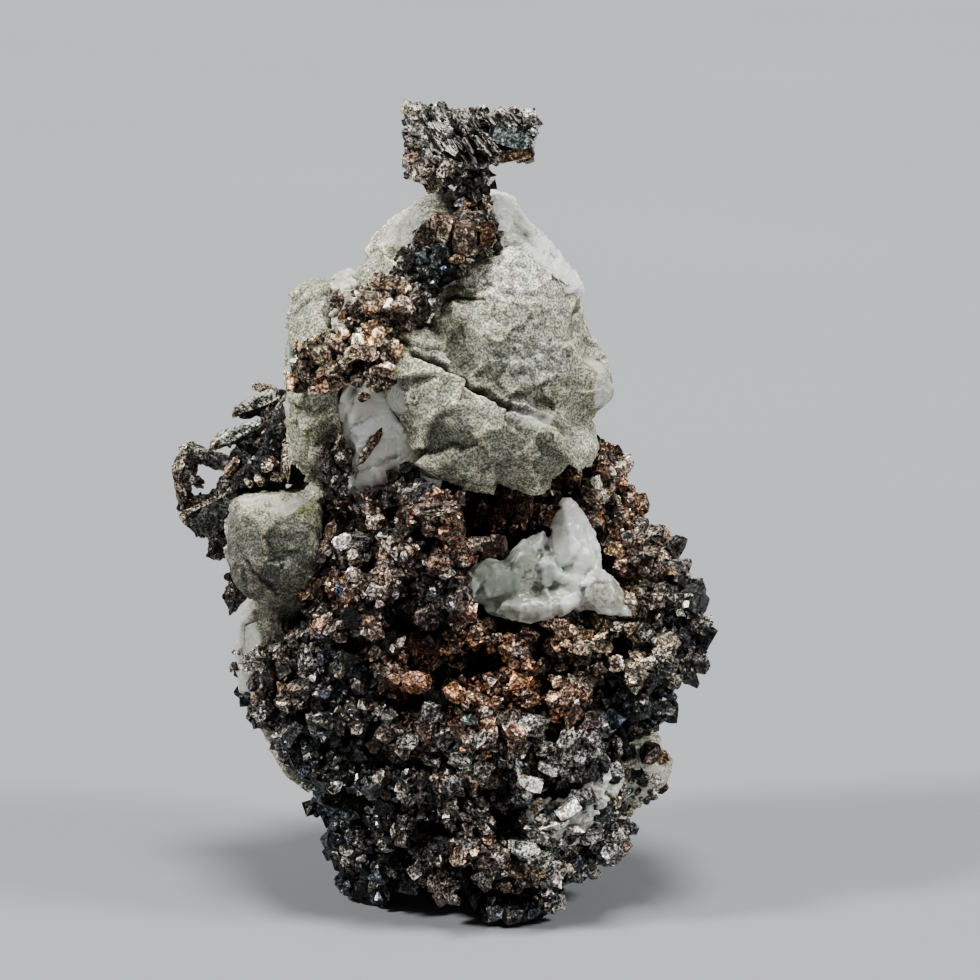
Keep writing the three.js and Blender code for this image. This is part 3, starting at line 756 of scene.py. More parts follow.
def silver_shader(name, wrinkle, lines, bleach, slant=None):
    """Tarnished silver: dark metal whose sides differ, with fine wrinkles, black pits and a faint blue film.

    The lines are how strong the wrinkles are, and the bleach how grey their crests. The crests and the
    lighter specks take a colour many times brighter than the tone: a painted glint, partly wear.
    """
    s = Shader(name, slant)
    facet = s.kept("facet")
    tone = s.times(s.kept("tone", "Color"), facet)
    wrinkles = s.noise(wrinkle, 3, 0.6, 0.7)
    specks = s.noise(0.19, 2, 0.6)
    grit = s.noise(0.6, 3, 0.6)
    patches = s.noise(1.4, 3, 0.6, 0.4)
    film = s.noise(2.3, 2, 0.5, 1.2)
    dark = s.times(tone, (0.1, 0.1, 0.1))
    # the colour of the painted glints, partly wear: the tone made many times brighter and paler
    warm = s.times(tone, (5.0, 4.8, 4.6))
    wear_and_glint = s.mix(bleach, warm, s.times(s.node("RGBToBW", Color=tone).outputs["Val"], PALE * 15))
    crests = s.ramp(wrinkles, (0.445, 0.0), (0.485, 1.0), (0.515, 1.0), (0.555, 0.0))
    pits = s.ramp(wrinkles, (0.41, lines), (0.45, 0.0), (0.55, 0.0), (0.59, lines))
    dull = 1 - 0.35 * lines
    colour = s.mix(pits, s.times(tone, (dull, dull, dull)), dark)
    # painted glints on the wrinkles' crests, and below on the lighter specks
    colour = s.mix(s.times(crests, (lines, lines, lines)), colour, wear_and_glint)
    for mask, start, end, other in (
        (specks, (0.42, 0.85), (0.49, 0.0), dark),
        (specks, (0.56, 0.0), (0.61, 0.95), wear_and_glint),
        (grit, (0.36, 0.85), (0.46, 0.0), dark),
        (patches, (0.36, 0.45), (0.5, 0.0), dark),
    ):
        colour = s.mix(s.ramp(mask, start, end), colour, other)
    colour = s.tinted(colour, s.ramp(film, (0.62, 0.0), (0.74, 0.3)), (0.45, 0.85, 1.0))
    rough = s.ramp(patches, (0.3, 0.5), (0.7, 0.28))
    normal = s.bump(crests, 0.7 * lines, 0.06)
    normal = s.bump(grit, 0.5, 0.08, normal)
    return s.finish(base_color=colour, metallic=0.75, roughness=rough, normal=normal)


def rock_shader():
    """Grey-green granular rock: dark and pale grains and white calcite on some margins, with painted shade in
    hollows and the crack and painted light on ridges, raised parts and some areas.
    """
    s = Shader("matrix_rock_finish")
    grain = s.noise(0.16, 2, 0.6)
    coarse = s.noise(0.8, 4, 0.7)
    cloud = s.noise(4.6, 4, 0.6, 0.6)
    stain = s.noise(6.5, 3, 0.55, 1.0)
    ridge = s.kept("ridge")
    high = s.kept("high")
    dim, plain, light = linear(116, 119, 104), linear(138, 140, 126), linear(156, 157, 145)
    body = s.ramp(cloud, (0.34, dim), (0.5, plain), (0.66, light))
    for mask, start, end, colour in (
        (stain, (0.5, 0.0), (0.7, 0.5), (150, 146, 116)),
        # painted shade where the rock lies low, painted light where it stands out and on ridges
        (high, (0.3, 0.5), (0.46, 0.0), (80, 83, 70)),
        (high, (0.55, 0.0), (0.75, 0.7), (188, 186, 162)),
        (ridge, (0.56, 0.0), (0.85, 0.4), (198, 194, 166)),
    ):
        body = s.mix(s.ramp(mask, start, end), body, linear(*colour))
    dark_grey, pale_grey = linear(104, 106, 101), linear(168, 169, 162)
    body = s.mix(s.kept("grey"), body, s.ramp(coarse, (0.38, dark_grey), (0.62, pale_grey)))
    body = s.mix(s.kept("green"), body, linear(128, 134, 66))
    for mask, start, end, factors in (
        (coarse, (0.4, 0.65), (0.49, 0.0), (0.5, 0.5, 0.44)),
        (coarse, (0.53, 0.0), (0.62, 0.55), (1.6, 1.6, 1.56)),
        (grain, (0.42, 0.9), (0.48, 0.0), (0.38, 0.38, 0.34)),
        (grain, (0.52, 0.0), (0.57, 0.95), (2.1, 2.1, 2.04)),
    ):
        body = s.tinted(body, s.ramp(mask, start, end), factors)
    # painted light and shade by area
    body = s.times(body, s.kept("lit"))
    white = s.ramp(cloud, (0.35, linear(178, 182, 166)), (0.65, linear(226, 228, 218)))
    white = s.mix(s.ramp(grain, (0.36, 0.5), (0.48, 0.0)), white, linear(150, 152, 136))
    body = s.mix(s.kept("pale"), body, white)
    # painted shade in the crack
    body = s.mix(s.kept("cleft"), body, linear(20, 20, 17))
    normal = s.bump(coarse, 0.35, 0.14)
    normal = s.bump(grain, 0.7, 0.06, normal)
    return s.finish(base_color=body, roughness=0.85, normal=normal, specular_ior_level=0.3)


GLOW_REACH = (1.0, 0.97, 0.9)


def calcite_shader(name, clear, glow, roughness):
    """White to grey-green calcite: light goes in and out of it, with cloudy bands inside and dark specks,
    painted shade where it lies low and painted light where it stands out.
    """
    s = Shader(name)
    cloud = s.noise(1.6, 4, 0.6, 0.7)
    fine = s.noise(0.26, 3, 0.6)
    high = s.kept("high")
    tone = s.kept("tone", "Color")
    body = s.mix(s.ramp(cloud, (0.36, 0.55), (0.52, 0.0)), tone, s.times(tone, (0.62, 0.68, 0.62)))
    # painted shade where the calcite lies low, painted light where it stands out
    body = s.mix(s.ramp(high, (0.3, 0.85), (0.49, 0.0)), body, s.times(tone, (0.38, 0.42, 0.34)))
    body = s.mix(s.ramp(high, (0.56, 0.0), (0.74, 0.6)), body, linear(246, 247, 243))
    body = s.tinted(body, s.ramp(s.noise(4.2, 2), (0.6, 0.0), (0.7, 0.4)), (0.86, 0.93, 0.72))
    body = s.mix(s.ramp(fine, (0.62, 0.0), (0.72, 0.35)), body, linear(248, 248, 245))
    specks = s.ramp(fine, (0.42, linear(60, 60, 50)), (0.52, linear(176, 178, 164)))
    body = s.mix(s.kept("specks"), body, specks)
    normal = s.bump(fine, 0.25, 0.05)
    normal = s.bump(cloud, 0.2, 0.2, normal)
    return s.finish(
        base_color=body, roughness=roughness, normal=normal, transmission_weight=clear, ior=1.55,
        subsurface_weight=glow, subsurface_scale=1.1 * MM, subsurface_radius=GLOW_REACH,
    )


ROCK = rock_shader()
SILVER = silver_shader("tarnished_silver", 0.34, 0.85, 0.5)
BRONZED = silver_shader("bronzed_silver", 0.36, 0.4, 0.25)
SMOOTH = silver_shader("smooth_silver", 0.5, 0.2, 0.3)
SHARP = silver_shader("sharp_silver", 0.36, 0.4, 0.25)
HACKLY = silver_shader("hackly_silver", 0.28, 1.0, 0.7, slant=50)
CALCITE = calcite_shader("white_calcite", 0.0, 0.45, 0.36)
CLEAR_CALCITE = calcite_shader("clear_calcite", 0.2, 0.5, 0.28)


# ---------- the matrix rock ----------
def along(points, direction, stretch):
    """Points squeezed along a direction, so that noise read at them runs in streaks that way."""
    d = np.array(direction, float) / np.linalg.norm(direction)
    return points - (points @ d)[:, None] * d * (1 - 1 / stretch)


def off_line(points, line):
    """How far points lie from a line drawn on the front through [x, z] places: negative below it."""
    flat = points[:, [0, 2]]
    best = np.full(len(points), 99.0)
    side = np.ones(len(points))
    for (x0, z0), (x1, z1) in zip(line, line[1:]):
        start, run = np.array([x0, z0]), np.array([x1 - x0, z1 - z0])
        share = np.clip((flat - start) @ run / (run @ run), 0, 1)
        away = flat - start - share[:, None] * run
        length = lengths(away)
        closer = length < best
        best = np.where(closer, length, best)
        side = np.where(closer, np.sign(away[:, 1] * run[0] - away[:, 0] * run[1]), side)
    return best * side


def patch(points, middle, reach):
    """1 at the middle of an area [x, y, z], falling to 0 at its reach."""
    off = (points - SHIFT - np.array(middle)) / np.array(reach)
    return 1 - smoothstep(0.5, 1.0, lengths(off))


def patches(points, *rows):
    """The strongest of some patches (strength, middle, reach)."""
    return np.maximum.reduce([strength * patch(points, *place) for strength, *place in rows])


# [x, z] lines across the front, read on the boulder's own face
SPLIT = [
    (-3.6, 43.5), (-2.6, 42.8), (-1.5, 42.3), (-0.5, 41.8), (0.6, 41.4), (1.5, 40.8), (2.4, 40.1),
    (3.1, 39.5), (3.8, 39.1), (4.5, 38.8), (5.6, 38.1), (6.7, 37.6), (7.7, 37.0), (8.8, 36.5), (9.9, 35.6),
]
CAP_EDGE = [
    (0.2, 46.1), (1.3, 46.4), (2.4, 46.6), (3.8, 46.5), (5.2, 46.0), (7.0, 45.5), (8.1, 44.6), (9.6, 43.7),
]
RIM_FOOT = [(3.6, 50.5), (4.4, 49.9), (5.2, 49.2), (6.3, 48.6), (7.3, 47.8), (8.2, 46.9), (9.2, 45.6)]
WINDOW_EDGE = [(-4.2, 39.2), (-4.1, 37.1), (-3.5, 35.7), (-1.9, 35.5), (-0.5, 34.7)]
# flat faces: (x, z) of the middle, how far it stands out, and how much more to the right and upwards
BOULDER_FACES = [
    (4.2, 48.0, 0.15, 0.02, -0.05),
    (3.8, 45.5, 0.05, 0.03, -0.2),
    (8.4, 44.6, -0.1, -0.16, -0.1),
    (-1.0, 44.4, 0.1, -0.1, -0.22),
    (1.4, 43.0, -0.25, 0.05, 0.3),
    (3.0, 42.0, -0.2, 0.12, 0.1),
    (6.3, 42.7, 0.1, 0.04, -0.06),
    (9.8, 41.3, -0.05, -0.22, 0.05),
    (5.2, 40.8, 0.25, 0.12, -0.12),
    (9.0, 38.3, 0.0, -0.14, 0.1),
    (5.6, 38.6, -0.2, 0.05, 0.0),
    (-1.8, 42.0, 0.15, -0.06, -0.3),
    (-1.2, 40.0, 0.1, 0.1, -0.08),
    (3.1, 38.7, 0.2, 0.0, -0.3),
    (0.3, 37.3, -0.35, 0.1, 0.42),
    (-2.8, 38.0, -0.1, 0.25, 0.1),
    (3.8, 36.2, 0.1, -0.1, 0.15),
    (1.6, 34.8, 0.1, -0.12, -0.15),
    (5.6, 34.6, -0.1, 0.1, 0.25),
    (8.1, 36.3, 0.2, -0.12, -0.25),
    (7.2, 35.2, -0.2, 0.0, 0.3),
]
BLOCK_FACES = [
    (-13.0, 31.2, -0.15, 0.0, -0.5),
    (-11.3, 28.6, 0.15, -0.03, 0.06),
    (-15.1, 28.4, -0.05, 0.4, -0.06),
    (-15.3, 25.6, -0.1, 0.3, 0.2),
    (-11.6, 25.6, 0.05, -0.08, 0.2),
    (-13.7, 24.0, -0.2, 0.1, 0.4),
]
SLAB_FACES = [
    (-3.8, 50.9, 0.15, 0.05, -0.12),
    (-1.0, 52.3, 0.2, 0.0, -0.35),
    (-5.6, 48.4, 0.05, -0.12, 0.1),
    (-2.6, 49.9, -0.25, 0.1, 0.3),
    (-4.2, 47.8, -0.15, 0.2, 0.1),
]
BLOCK_EDGE = [(-15.7, 30.5), (-13.9, 29.8), (-12.4, 30.6), (-10.7, 31.0), (-9.2, 30.9)]
HAIR_CRACKS = [
    [(0.0, 46.0), (1.3, 46.35), (2.6, 46.5)],
    [(-14.5, 27.3), (-14.1, 26.8), (-13.4, 26.1), (-12.9, 25.3), (-12.3, 24.5)],
]


def ledge(away, rise, above, below):
    """A worn ledge: highest along a line, falling over one distance above it and another below."""
    return rise * np.where(away > 0, np.exp(-away / above), np.exp(away / below))


def flat_faces(q, faces):
    """The height of whichever flat face is nearest."""
    flat = q[:, [0, 2]]
    faces = np.array(faces)
    nearest = np.argmin(np.linalg.norm(flat[:, None] - faces[None, :, :2], axis=2), axis=1)
    face = faces[nearest]
    return face[:, 2] + dots(flat - face[:, :2], face[:, 3:])


def between(q, low, high, reach=1.2):
    """1 between two places across the front, fading to the left and right of them."""
    return smoothstep(low - reach, low + reach, q[:, 0]) * smoothstep(high + reach, high - reach, q[:, 0])


def rock_mesh(hidden_by):
    mesh = remeshed("matrix_rock", "_finish", 0.46, 3)
    p, n = positions(mesh), normals(mesh)
    own = tree_of(mesh)
    seen = np.zeros(len(p), bool)
    for i in np.flatnonzero(n[:, 1] < 0.5):
        start = Vector(p[i] + n[i] * 0.6)
        seen[i] = first_met([own, *hidden_by], start, Vector(EYE) - start) is None
    refined(mesh, seen, 2)
    set_positions(mesh, averaged(positions(mesh), edges(mesh), 4))

    p = positions(mesh)
    q = p - SHIFT + 0.18 * triple(p, 1.3, 7)
    front = smoothstep(1.0, -3.0, q[:, 1])
    boulder = front * smoothstep(32.0, 34.0, q[:, 2]) * smoothstep(-5.5, -3.5, q[:, 0])
    block = front * smoothstep(32.0, 30.0, q[:, 2]) * smoothstep(-9.0, -10.5, q[:, 0])

    streaks = along(p, (0.88, 0.1, -0.46), 2.6)
    folds = 1 - np.abs(fractal(streaks, 1.6, 11, 3)) * 2
    back = smoothstep(0.5, 5.0, q[:, 1])
    height = 0.7 * leaning(p, 0.35 * fractal(p, 1.5, 5), 3.1, 17) / 3.1
    height *= 1 - 0.85 * np.maximum(block, boulder)
    height *= 1 - 0.72 * back
    height += 1.5 * back * (leaning(p, 0.7 * fractal(p, 3.5, 8), 8.0, 19) / 8.0 - 0.1)
    height += 0.13 * leaning(p, 0.25 * fractal(p, 0.8, 6), 1.3, 18) / 1.3
    height += 0.07 * boulder * folds + 0.04 * fractal(p, 1.5, 23, 2)
    bent = q + 0.5 * triple(p, 1.9, 91)
    slab = front * smoothstep(46.6, 47.8, q[:, 2]) * smoothstep(0.6, -0.6, q[:, 0])
    for mask, faces in ((boulder * (1 - slab), BOULDER_FACES), (block, BLOCK_FACES), (slab, SLAB_FACES)):
        height += mask * np.clip(flat_faces(bent, faces), -1.0, 0.8)
    hollows = 0.9 * patch(p, (17.4, -4.0, 12.4), (2.0, 5.0, 1.7))
    height -= hollows + 0.9 * patch(p, (17.0, -4.0, 8.4), (2.0, 5.0, 1.6))
    height += 0.45 * front * bell(off_line(q, RIM_FOOT), 0.5)
    height += 0.5 * front * bell(off_line(q, WINDOW_EDGE), 0.7)
    height -= 1.3 * patch(p, (11.2, -2.5, 43.4), (3.0, 6.0, 3.0))
    height += 0.6 * front * patch(p, (0.1, -6.0, 45.6), (1.8, 6.0, 1.8))

    split = off_line(q, SPLIT)
    opening = front * between(q, -2.4, 8.6, 0.6)
    deep = 1 - 0.55 * smoothstep(3.0, 6.0, q[:, 0])
    filled = bell(split, 0.7) * (0.3 + 0.5 * smoothstep(4.2, 5.4, q[:, 0]))
    trench = bell(split + 0.05, 0.2)
    height += opening * (filled - deep * 1.1 * trench)
    height += boulder * ledge(off_line(q, CAP_EDGE), 0.2, 0.8, 0.2) * between(q, -1.4, 8.0)

    pitted = front * patch(p, (6.2, -9.0, 42.0), (3.6, 5.0, 2.6))
    pits, _, _ = cells(along(p, (0.88, 0.1, -0.46), 1.6), 0.62, 29)
    grains, _, _ = cells(p, 0.42, 31)
    height += (0.03 + 0.35 * pitted) * (0.5 - pits) + 0.05 * (0.5 - grains) + 0.04 * fractal(p, 0.36, 33, 2)
    hair = np.zeros(len(p))
    for crack in HAIR_CRACKS:
        hair = np.maximum(hair, front * bell(off_line(q, crack), 0.13))
    height -= 0.3 * hair

    feet = smoothstep(0.0, 1.2, p[:, 2])
    raised(mesh, height * feet)
    kept_inside(mesh)

    # painted light and shade: pale on ridges and where the rock stands out, dark where it lies low; darker
    # under the cap's edge and above the crack, paler along the block's edge and just below the crack
    keep(mesh, "ridge", 0.5 + 0.5 * curvature(mesh, 1))
    fine_scale = relief(mesh, 40)
    under_cap = bell(off_line(q, CAP_EDGE) + 0.1, 0.15)
    edge = -0.15 * boulder * under_cap * between(q, -0.6, 4.4, 0.8)
    edge += block * bell(off_line(q, BLOCK_EDGE) - 0.1, 0.35) * 0.22
    edge += opening * bell(split + 0.55, 0.3) * 0.25
    edge -= opening * bell(split - 0.3, 0.5) * 0.3
    keep(mesh, "high", np.clip(0.5 + fine_scale / 0.55 + edge, 0, 1))
    # painted shade: near black along the crack and the hair cracks
    cleft = opening * deep * bell(split, 0.18) * 1.2
    keep(mesh, "cleft", np.clip(cleft + 0.8 * hair, 0, 1))
    # painted light and shade by area: the block darker with its top lighter, the cap and the slab lighter,
    # some lower parts of the boulder and an area on the left darker
    lit = 0.9 - 0.58 * block + 0.3 * patch(p, (-12.6, -4.0, 31.0), (4.4, 5.0, 1.6))
    lit_tops = 1.0 * patch(p, (4.4, -6.0, 48.2), (5.4, 6.0, 3.0))
    lit += lit_tops + 0.6 * patch(p, (-3.4, -2.0, 50.0), (4.6, 6.0, 5.0))
    shaded_parts = 0.06 * patch(p, (-9.6, -4.0, 40.0), (3.6, 6.0, 9.0))
    lit -= shaded_parts + 0.15 * patch(p, (0.3, -9.0, 37.2), (2.6, 4.0, 1.6))
    keep(mesh, "lit", lit - 0.29 * patch(p, (4.0, -9.0, 36.4), (7.0, 5.0, 3.4)))
    ragged = 0.35 * fractal(p, 1.6, 41, 3)
    pale = patches(
        p,
        (0.75, (-3.4, -3.0, 51.0), (3.4, 5.0, 2.2)),
        (0.8, (-12.6, -5.0, 31.2), (4.4, 4.0, 1.4)),
        (0.8, (-15.4, -1.0, 17.0), (2.0, 6.0, 8.5)),
        (0.9, (12.0, -4.0, 38.4), (1.6, 5.0, 5.0)),
        (0.6, (-12.0, -3.0, 40.0), (1.4, 5.0, 6.0)),
        (0.8, (-5.6, -8.0, 43.4), (1.6, 4.0, 1.4)),
        (0.7, (6.4, -9.0, 37.6), (1.6, 4.0, 0.8)),
        (0.7, (-3.6, -8.0, 39.2), (0.9, 4.0, 2.0)),
        (0.8, (14.4, -4.0, 10.4), (2.6, 5.0, 2.6)),
    )
    veins = smoothstep(0.86, 0.98, 1 - np.abs(fractal(p, 9.0, 53, 2)) * 3)
    veins *= smoothstep(0.0, 0.4, noise(p / 6, 59))
    keep(mesh, "pale", np.clip(smoothstep(0.35, 0.75, pale + ragged) * 0.7 + 0.4 * veins, 0, 0.85))
    grey = patches(
        p,
        (1.0, (4.2, -6.0, 48.0), (4.6, 6.0, 2.6)),
        (1.0, (6.6, -8.0, 42.0), (3.6, 5.0, 2.6)),
        (0.8, (-10.6, -7.0, 42.4), (1.6, 3.0, 1.6)),
        (0.8, (-9.8, -8.0, 14.8), (2.4, 4.0, 1.8)),
        (0.8, (6.0, -9.0, 38.4), (2.0, 3.0, 1.2)),
    )
    keep(mesh, "grey", smoothstep(0.2, 0.8, grey + ragged) * 0.6)
    green = patches(
        p,
        (1.0, (5.3, -5.0, 49.8), (1.2, 4.0, 0.8)),
        (1.0, (-9.9, -5.0, 36.6), (0.6, 4.0, 0.9)),
        (1.0, (-10.2, -6.0, 30.7), (0.9, 4.0, 0.6)),
    )
    keep(mesh, "green", smoothstep(0.3, 0.8, green + 0.5 * ragged) * 0.6)
    return mesh


# ---------- the silver's bodies ----------
def silver_mesh(node, voxel, heights, smoothing=2, dark=0.35, knobbed=0.0, shade=None):
    """A silver node with its nodules raised and its tones kept; painted shade darkens its grooves and the
    gaps between knobs.
    """
    mesh = remeshed(node, "_body", voxel, smoothing)
    p = positions(mesh)
    raised(mesh, heights(p) * smoothstep(0.0, 0.8, p[:, 2]))
    kept_inside(mesh)
    tone, _ = tones_at(positions(mesh))
    # painted light and shade: darker in grooves and between knobs, lighter where the body stands out
    level = np.clip(0.4 + relief(mesh, 12) / 0.4, 0.04, 1.4) * dark
    level *= 1.2 - knobbed * smoothstep(0.35, 0.75, knob_of(p)[0])
    if shade is not None:
        level *= shade(p)
    keep(mesh, "tone", tone * level[:, None])
    # painted light and shade: each small patch of faces is lighter or darker at random
    _, own, _ = cells(read(mesh.polygons, "center").astype(float) / MM, 0.6, 151)
    keep(mesh, "facet", np.exp(0.9 * own[:, 0]), "FACE")
    return mesh


def nodules(p, *layers):
    """Rounded knobs with sharp gaps between them: layers of (spacing, height, seed)."""
    height = np.zeros(len(p))
    for spacing, rise, seed in layers:
        warped = p + 0.2 * spacing * fractal(p, spacing, seed + 9, 2)[:, None]
        near, _, _ = cells(warped, spacing, seed)
        height += rise * (0.55 - 1.3 * near**2)
    return height


def hackly(p, spacing, seed):
    """Sharp winding ridges, from -1 between them to 1 on them."""
    bent = p + 0.4 * spacing * np.stack([noise(p / spacing, seed + n) for n in range(3)], 1)
    return 1 - 3.2 * np.minimum(np.abs(noise(bent / spacing, seed + 5)), 0.62)


def crust_heights(p):
    near, _ = knob_of(p)
    return 2.2 * (0.5 - 1.4 * near**2) + nodules(p, (0.95, 0.5, 67)) + 0.16 * hackly(p, 0.6, 71) - 0.5


def crown_heights(p):
    """Knobs, with hackly ridges on the hammer that slant down to the right."""
    q = p - SHIFT
    hammer = smoothstep(54.8, 55.8, q[:, 2]) * smoothstep(-1.8, -0.6, q[:, 0])
    slanted = along(p, (0.64, 0.1, -0.76), 4.0)
    knobs = nodules(p, (1.3, 0.5, 79)) + 0.12 * hackly(p, 0.5, 83)
    return knobs * (1 - 0.7 * hammer) + 0.3 * hammer * hackly(slanted, 0.5, 73) - 0.15


def small_heights(p):
    return nodules(p, (1.0, 0.35, 89), (0.5, 0.16, 97))


def blade_heights(p):
    return 0.04 * fractal(p, 0.3, 5, 2)


def seam_shade(p):
    """Painted shade: the crown is darker between the nuggets of the seam."""
    return 1 - 0.8 * smoothstep(47.6, 46.4, p[:, 2])


def leaf_heights(p):
    return nodules(p, (0.9, 0.14, 101)) + 0.1 * hackly(p, 0.5, 103) - 0.06


# ---------- calcite ----------
WHITE = linear(242, 241, 234)
MILK = linear(222, 220, 208)
MIST = linear(174, 182, 166)
SMOKE = linear(150, 150, 134)
SAND = linear(190, 180, 160)
PALE_GREEN = linear(176, 190, 150)
# (x, z) of the middle, reach, tone
CALCITE_TONES = [
    (9.2, 29.6, 2.0, WHITE),
    (3.2, 24.6, 2.4, MIST * 0.9),
    (6.8, 26.6, 1.2, MIST),
    (6.4, 23.4, 1.4, SMOKE),
    (9.4, 24.4, 0.9, WHITE),
    (11.4, 24.2, 1.4, SMOKE),
    (-7.0, 36.0, 3.0, WHITE),
    (-4.6, 32.4, 1.8, SAND),
    (8.8, 46.6, 2.6, WHITE),
    (4.8, 51.0, 2.0, MILK),
    (11.2, 42.0, 2.0, MILK),
    (-7.0, 45.0, 3.0, SAND),
    (8.6, 6.4, 3.0, MILK * 0.95),
    (5.0, 49.6, 0.8, PALE_GREEN),
]


def calcite_mesh(node, voxel, cleave, size, seed, smoothing=1, lift=0.0, specked=0.0, specks=()):
    """Calcite broken along flat steps, lifted all over if it has to meet the rock beside it.

    It is specked a little all over, and more in some patches.
    """
    mesh = remeshed(node, "_finish", voxel, smoothing)
    p = positions(mesh)
    facets = leaning(p, 0.12 * size * fractal(p, size, seed, 2), size, seed) / size
    small = size * 0.42
    facets += 0.4 * leaning(p, 0.05 * fractal(p, 0.5, seed + 1, 2), small, seed + 7) / small
    steps = np.round(fractal(along(p, (0.3, 0.2, 0.9), 2.0), size * 1.4, seed + 3, 2) * 5) / 5
    raised(mesh, lift + cleave * (facets + 0.45 * steps) + 0.03 * fractal(p, 0.4, seed + 5, 2))
    kept_inside(mesh)
    # how far the calcite stands out, for its painted light and shade
    keep(mesh, "high", np.clip(0.5 + relief(mesh, 30) / 0.6, 0, 1))
    at = positions(mesh)
    keep(mesh, "tone", blended(at, CALCITE_TONES, MILK, 0.02))
    patchy = [strength * patch(at, *place) for strength, *place in specks]
    keep(mesh, "specks", sum(patchy, np.full(len(at), specked)))
    return mesh


# where calcite has dark specks: (strength, middle, reach)
CLUSTER_SPECKS = [(0.6, (6.2, -7.5, 25.8), (1.3, 4.0, 1.6)), (0.55, (11.0, -6.5, 24.4), (2.2, 4.0, 1.4))]
RIM_SPECKS = [
    (0.6, (4.6, -4.0, 50.3), (1.6, 5.0, 1.1)),
    (0.8, (10.4, -3.0, 44.6), (1.4, 5.0, 1.4)),
    (0.5, (11.6, -3.0, 41.6), (1.0, 5.0, 2.0)),
]


# ---------- building ----------
cad_trees = {name: tree_of(node.data) for name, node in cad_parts.items()}
rock = rock_mesh([tree for name, tree in cad_trees.items() if name != "matrix_rock"])
crust = silver_mesh("silver_crust", 0.28, crust_heights, dark=0.6, knobbed=1.1)
crown = silver_mesh("silver_crown", 0.16, crown_heights, 1, 1.0, shade=seam_shade)
leaves = silver_mesh("silver_leaves", 0.18, leaf_heights, 1, 0.8)
window_tuft = silver_mesh("silver_window_tuft", 0.14, small_heights, 1, 0.6)
column_tuft = silver_mesh("silver_column_tuft", 0.14, small_heights, 1, 0.6)
blade = silver_mesh("silver_blade", 0.09, blade_heights, 1, 1.2)

rim = calcite_mesh("calcite_rim", 0.19, 0.38, 1.7, 107, 2, 0.35, specks=RIM_SPECKS)
window = calcite_mesh("calcite_window", 0.18, 0.32, 2.2, 113, 2, 0.4)
saddle = calcite_mesh("calcite_saddle", 0.16, 0.3, 1.3, 127)
cluster = calcite_mesh("calcite_cluster", 0.15, 0.22, 2.0, 131, 3, specks=CLUSTER_SPECKS)
streak = calcite_mesh("calcite_streak", 0.17, 0.45, 1.1, 137, specked=0.35)

rock_tree = tree_of(rock)
calcite_trees = [tree_of(m) for m in (rim, window, saddle, cluster)]
around = [rock_tree, *calcite_trees]


def front_weight(p, n):
    """Most crystals face the front; the hidden back of a growth gets fewer."""
    return np.where(n[:, 1] < 0.5, 1.0, 0.35)


def crust_weight(p, n):
    """The gaps between the knobs stay nearly bare."""
    bare = 0.85 * smoothstep(0.48, 0.68, knob_of(p)[0])
    return front_weight(p, n) * smoothstep(0.5, 1.6, p[:, 2]) * (1 - bare)


# where the crust shows sharp crystals, and where long wrinkled lumps: (x, z) of the middle, reach
SHARP_SPOTS = [
    (2.4, 18.4, 5.2), (-5.6, 27.2, 3.4), (9.6, 20.6, 2.6), (12.6, 29.0, 3.4), (6.0, 30.6, 3.6),
    (-9.0, 23.6, 2.0),
]
LUMPY_SPOTS = [
    (2.6, 11.4, 4.4), (9.8, 10.6, 3.2), (-11.4, 18.4, 2.2), (15.8, 20.6, 2.8), (14.0, 26.4, 2.2),
    (3.2, 4.0, 2.6),
]


def by_nearness(base, share, spots):
    """A weight for the crust that differs near some spots."""
    def weigh(p, n):
        near = np.maximum.reduce([nearness(on_front(p), *spot) for spot in spots])
        return crust_weight(p, n) * (base + share * near)
    return weigh


def stem_weight(p, n):
    """Crystals cover the stem and the head of the seam; the hammer's own ridges show."""
    return front_weight(p, n) * (0.06 + smoothstep(55.4, 54.4, p[:, 2]) * smoothstep(46.0, 47.0, p[:, 2]))


def nugget_weight(p, n):
    """Longer nuggets cover the foot of the seam."""
    return front_weight(p, n) * smoothstep(47.4, 46.4, p[:, 2])


def edge_weight(p, n):
    """A few crystals, in clumps, at the lower right and left edges of the rock."""
    within = patches(p, (1, (13.8, -3.0, 9.6), (2.6, 5.0, 3.2)), (1, (-15.2, -2.0, 15.0), (1.6, 4.0, 6.0)))
    return front_weight(p, n) * within * smoothstep(0.0, 0.35, fractal(p, 1.6, 171, 2) + 0.1)


def clump_weight(p, n):
    """Crystals stand in clumps on the streak."""
    return smoothstep(0.0, 0.3, fractal(p, 1.4, 173, 2))


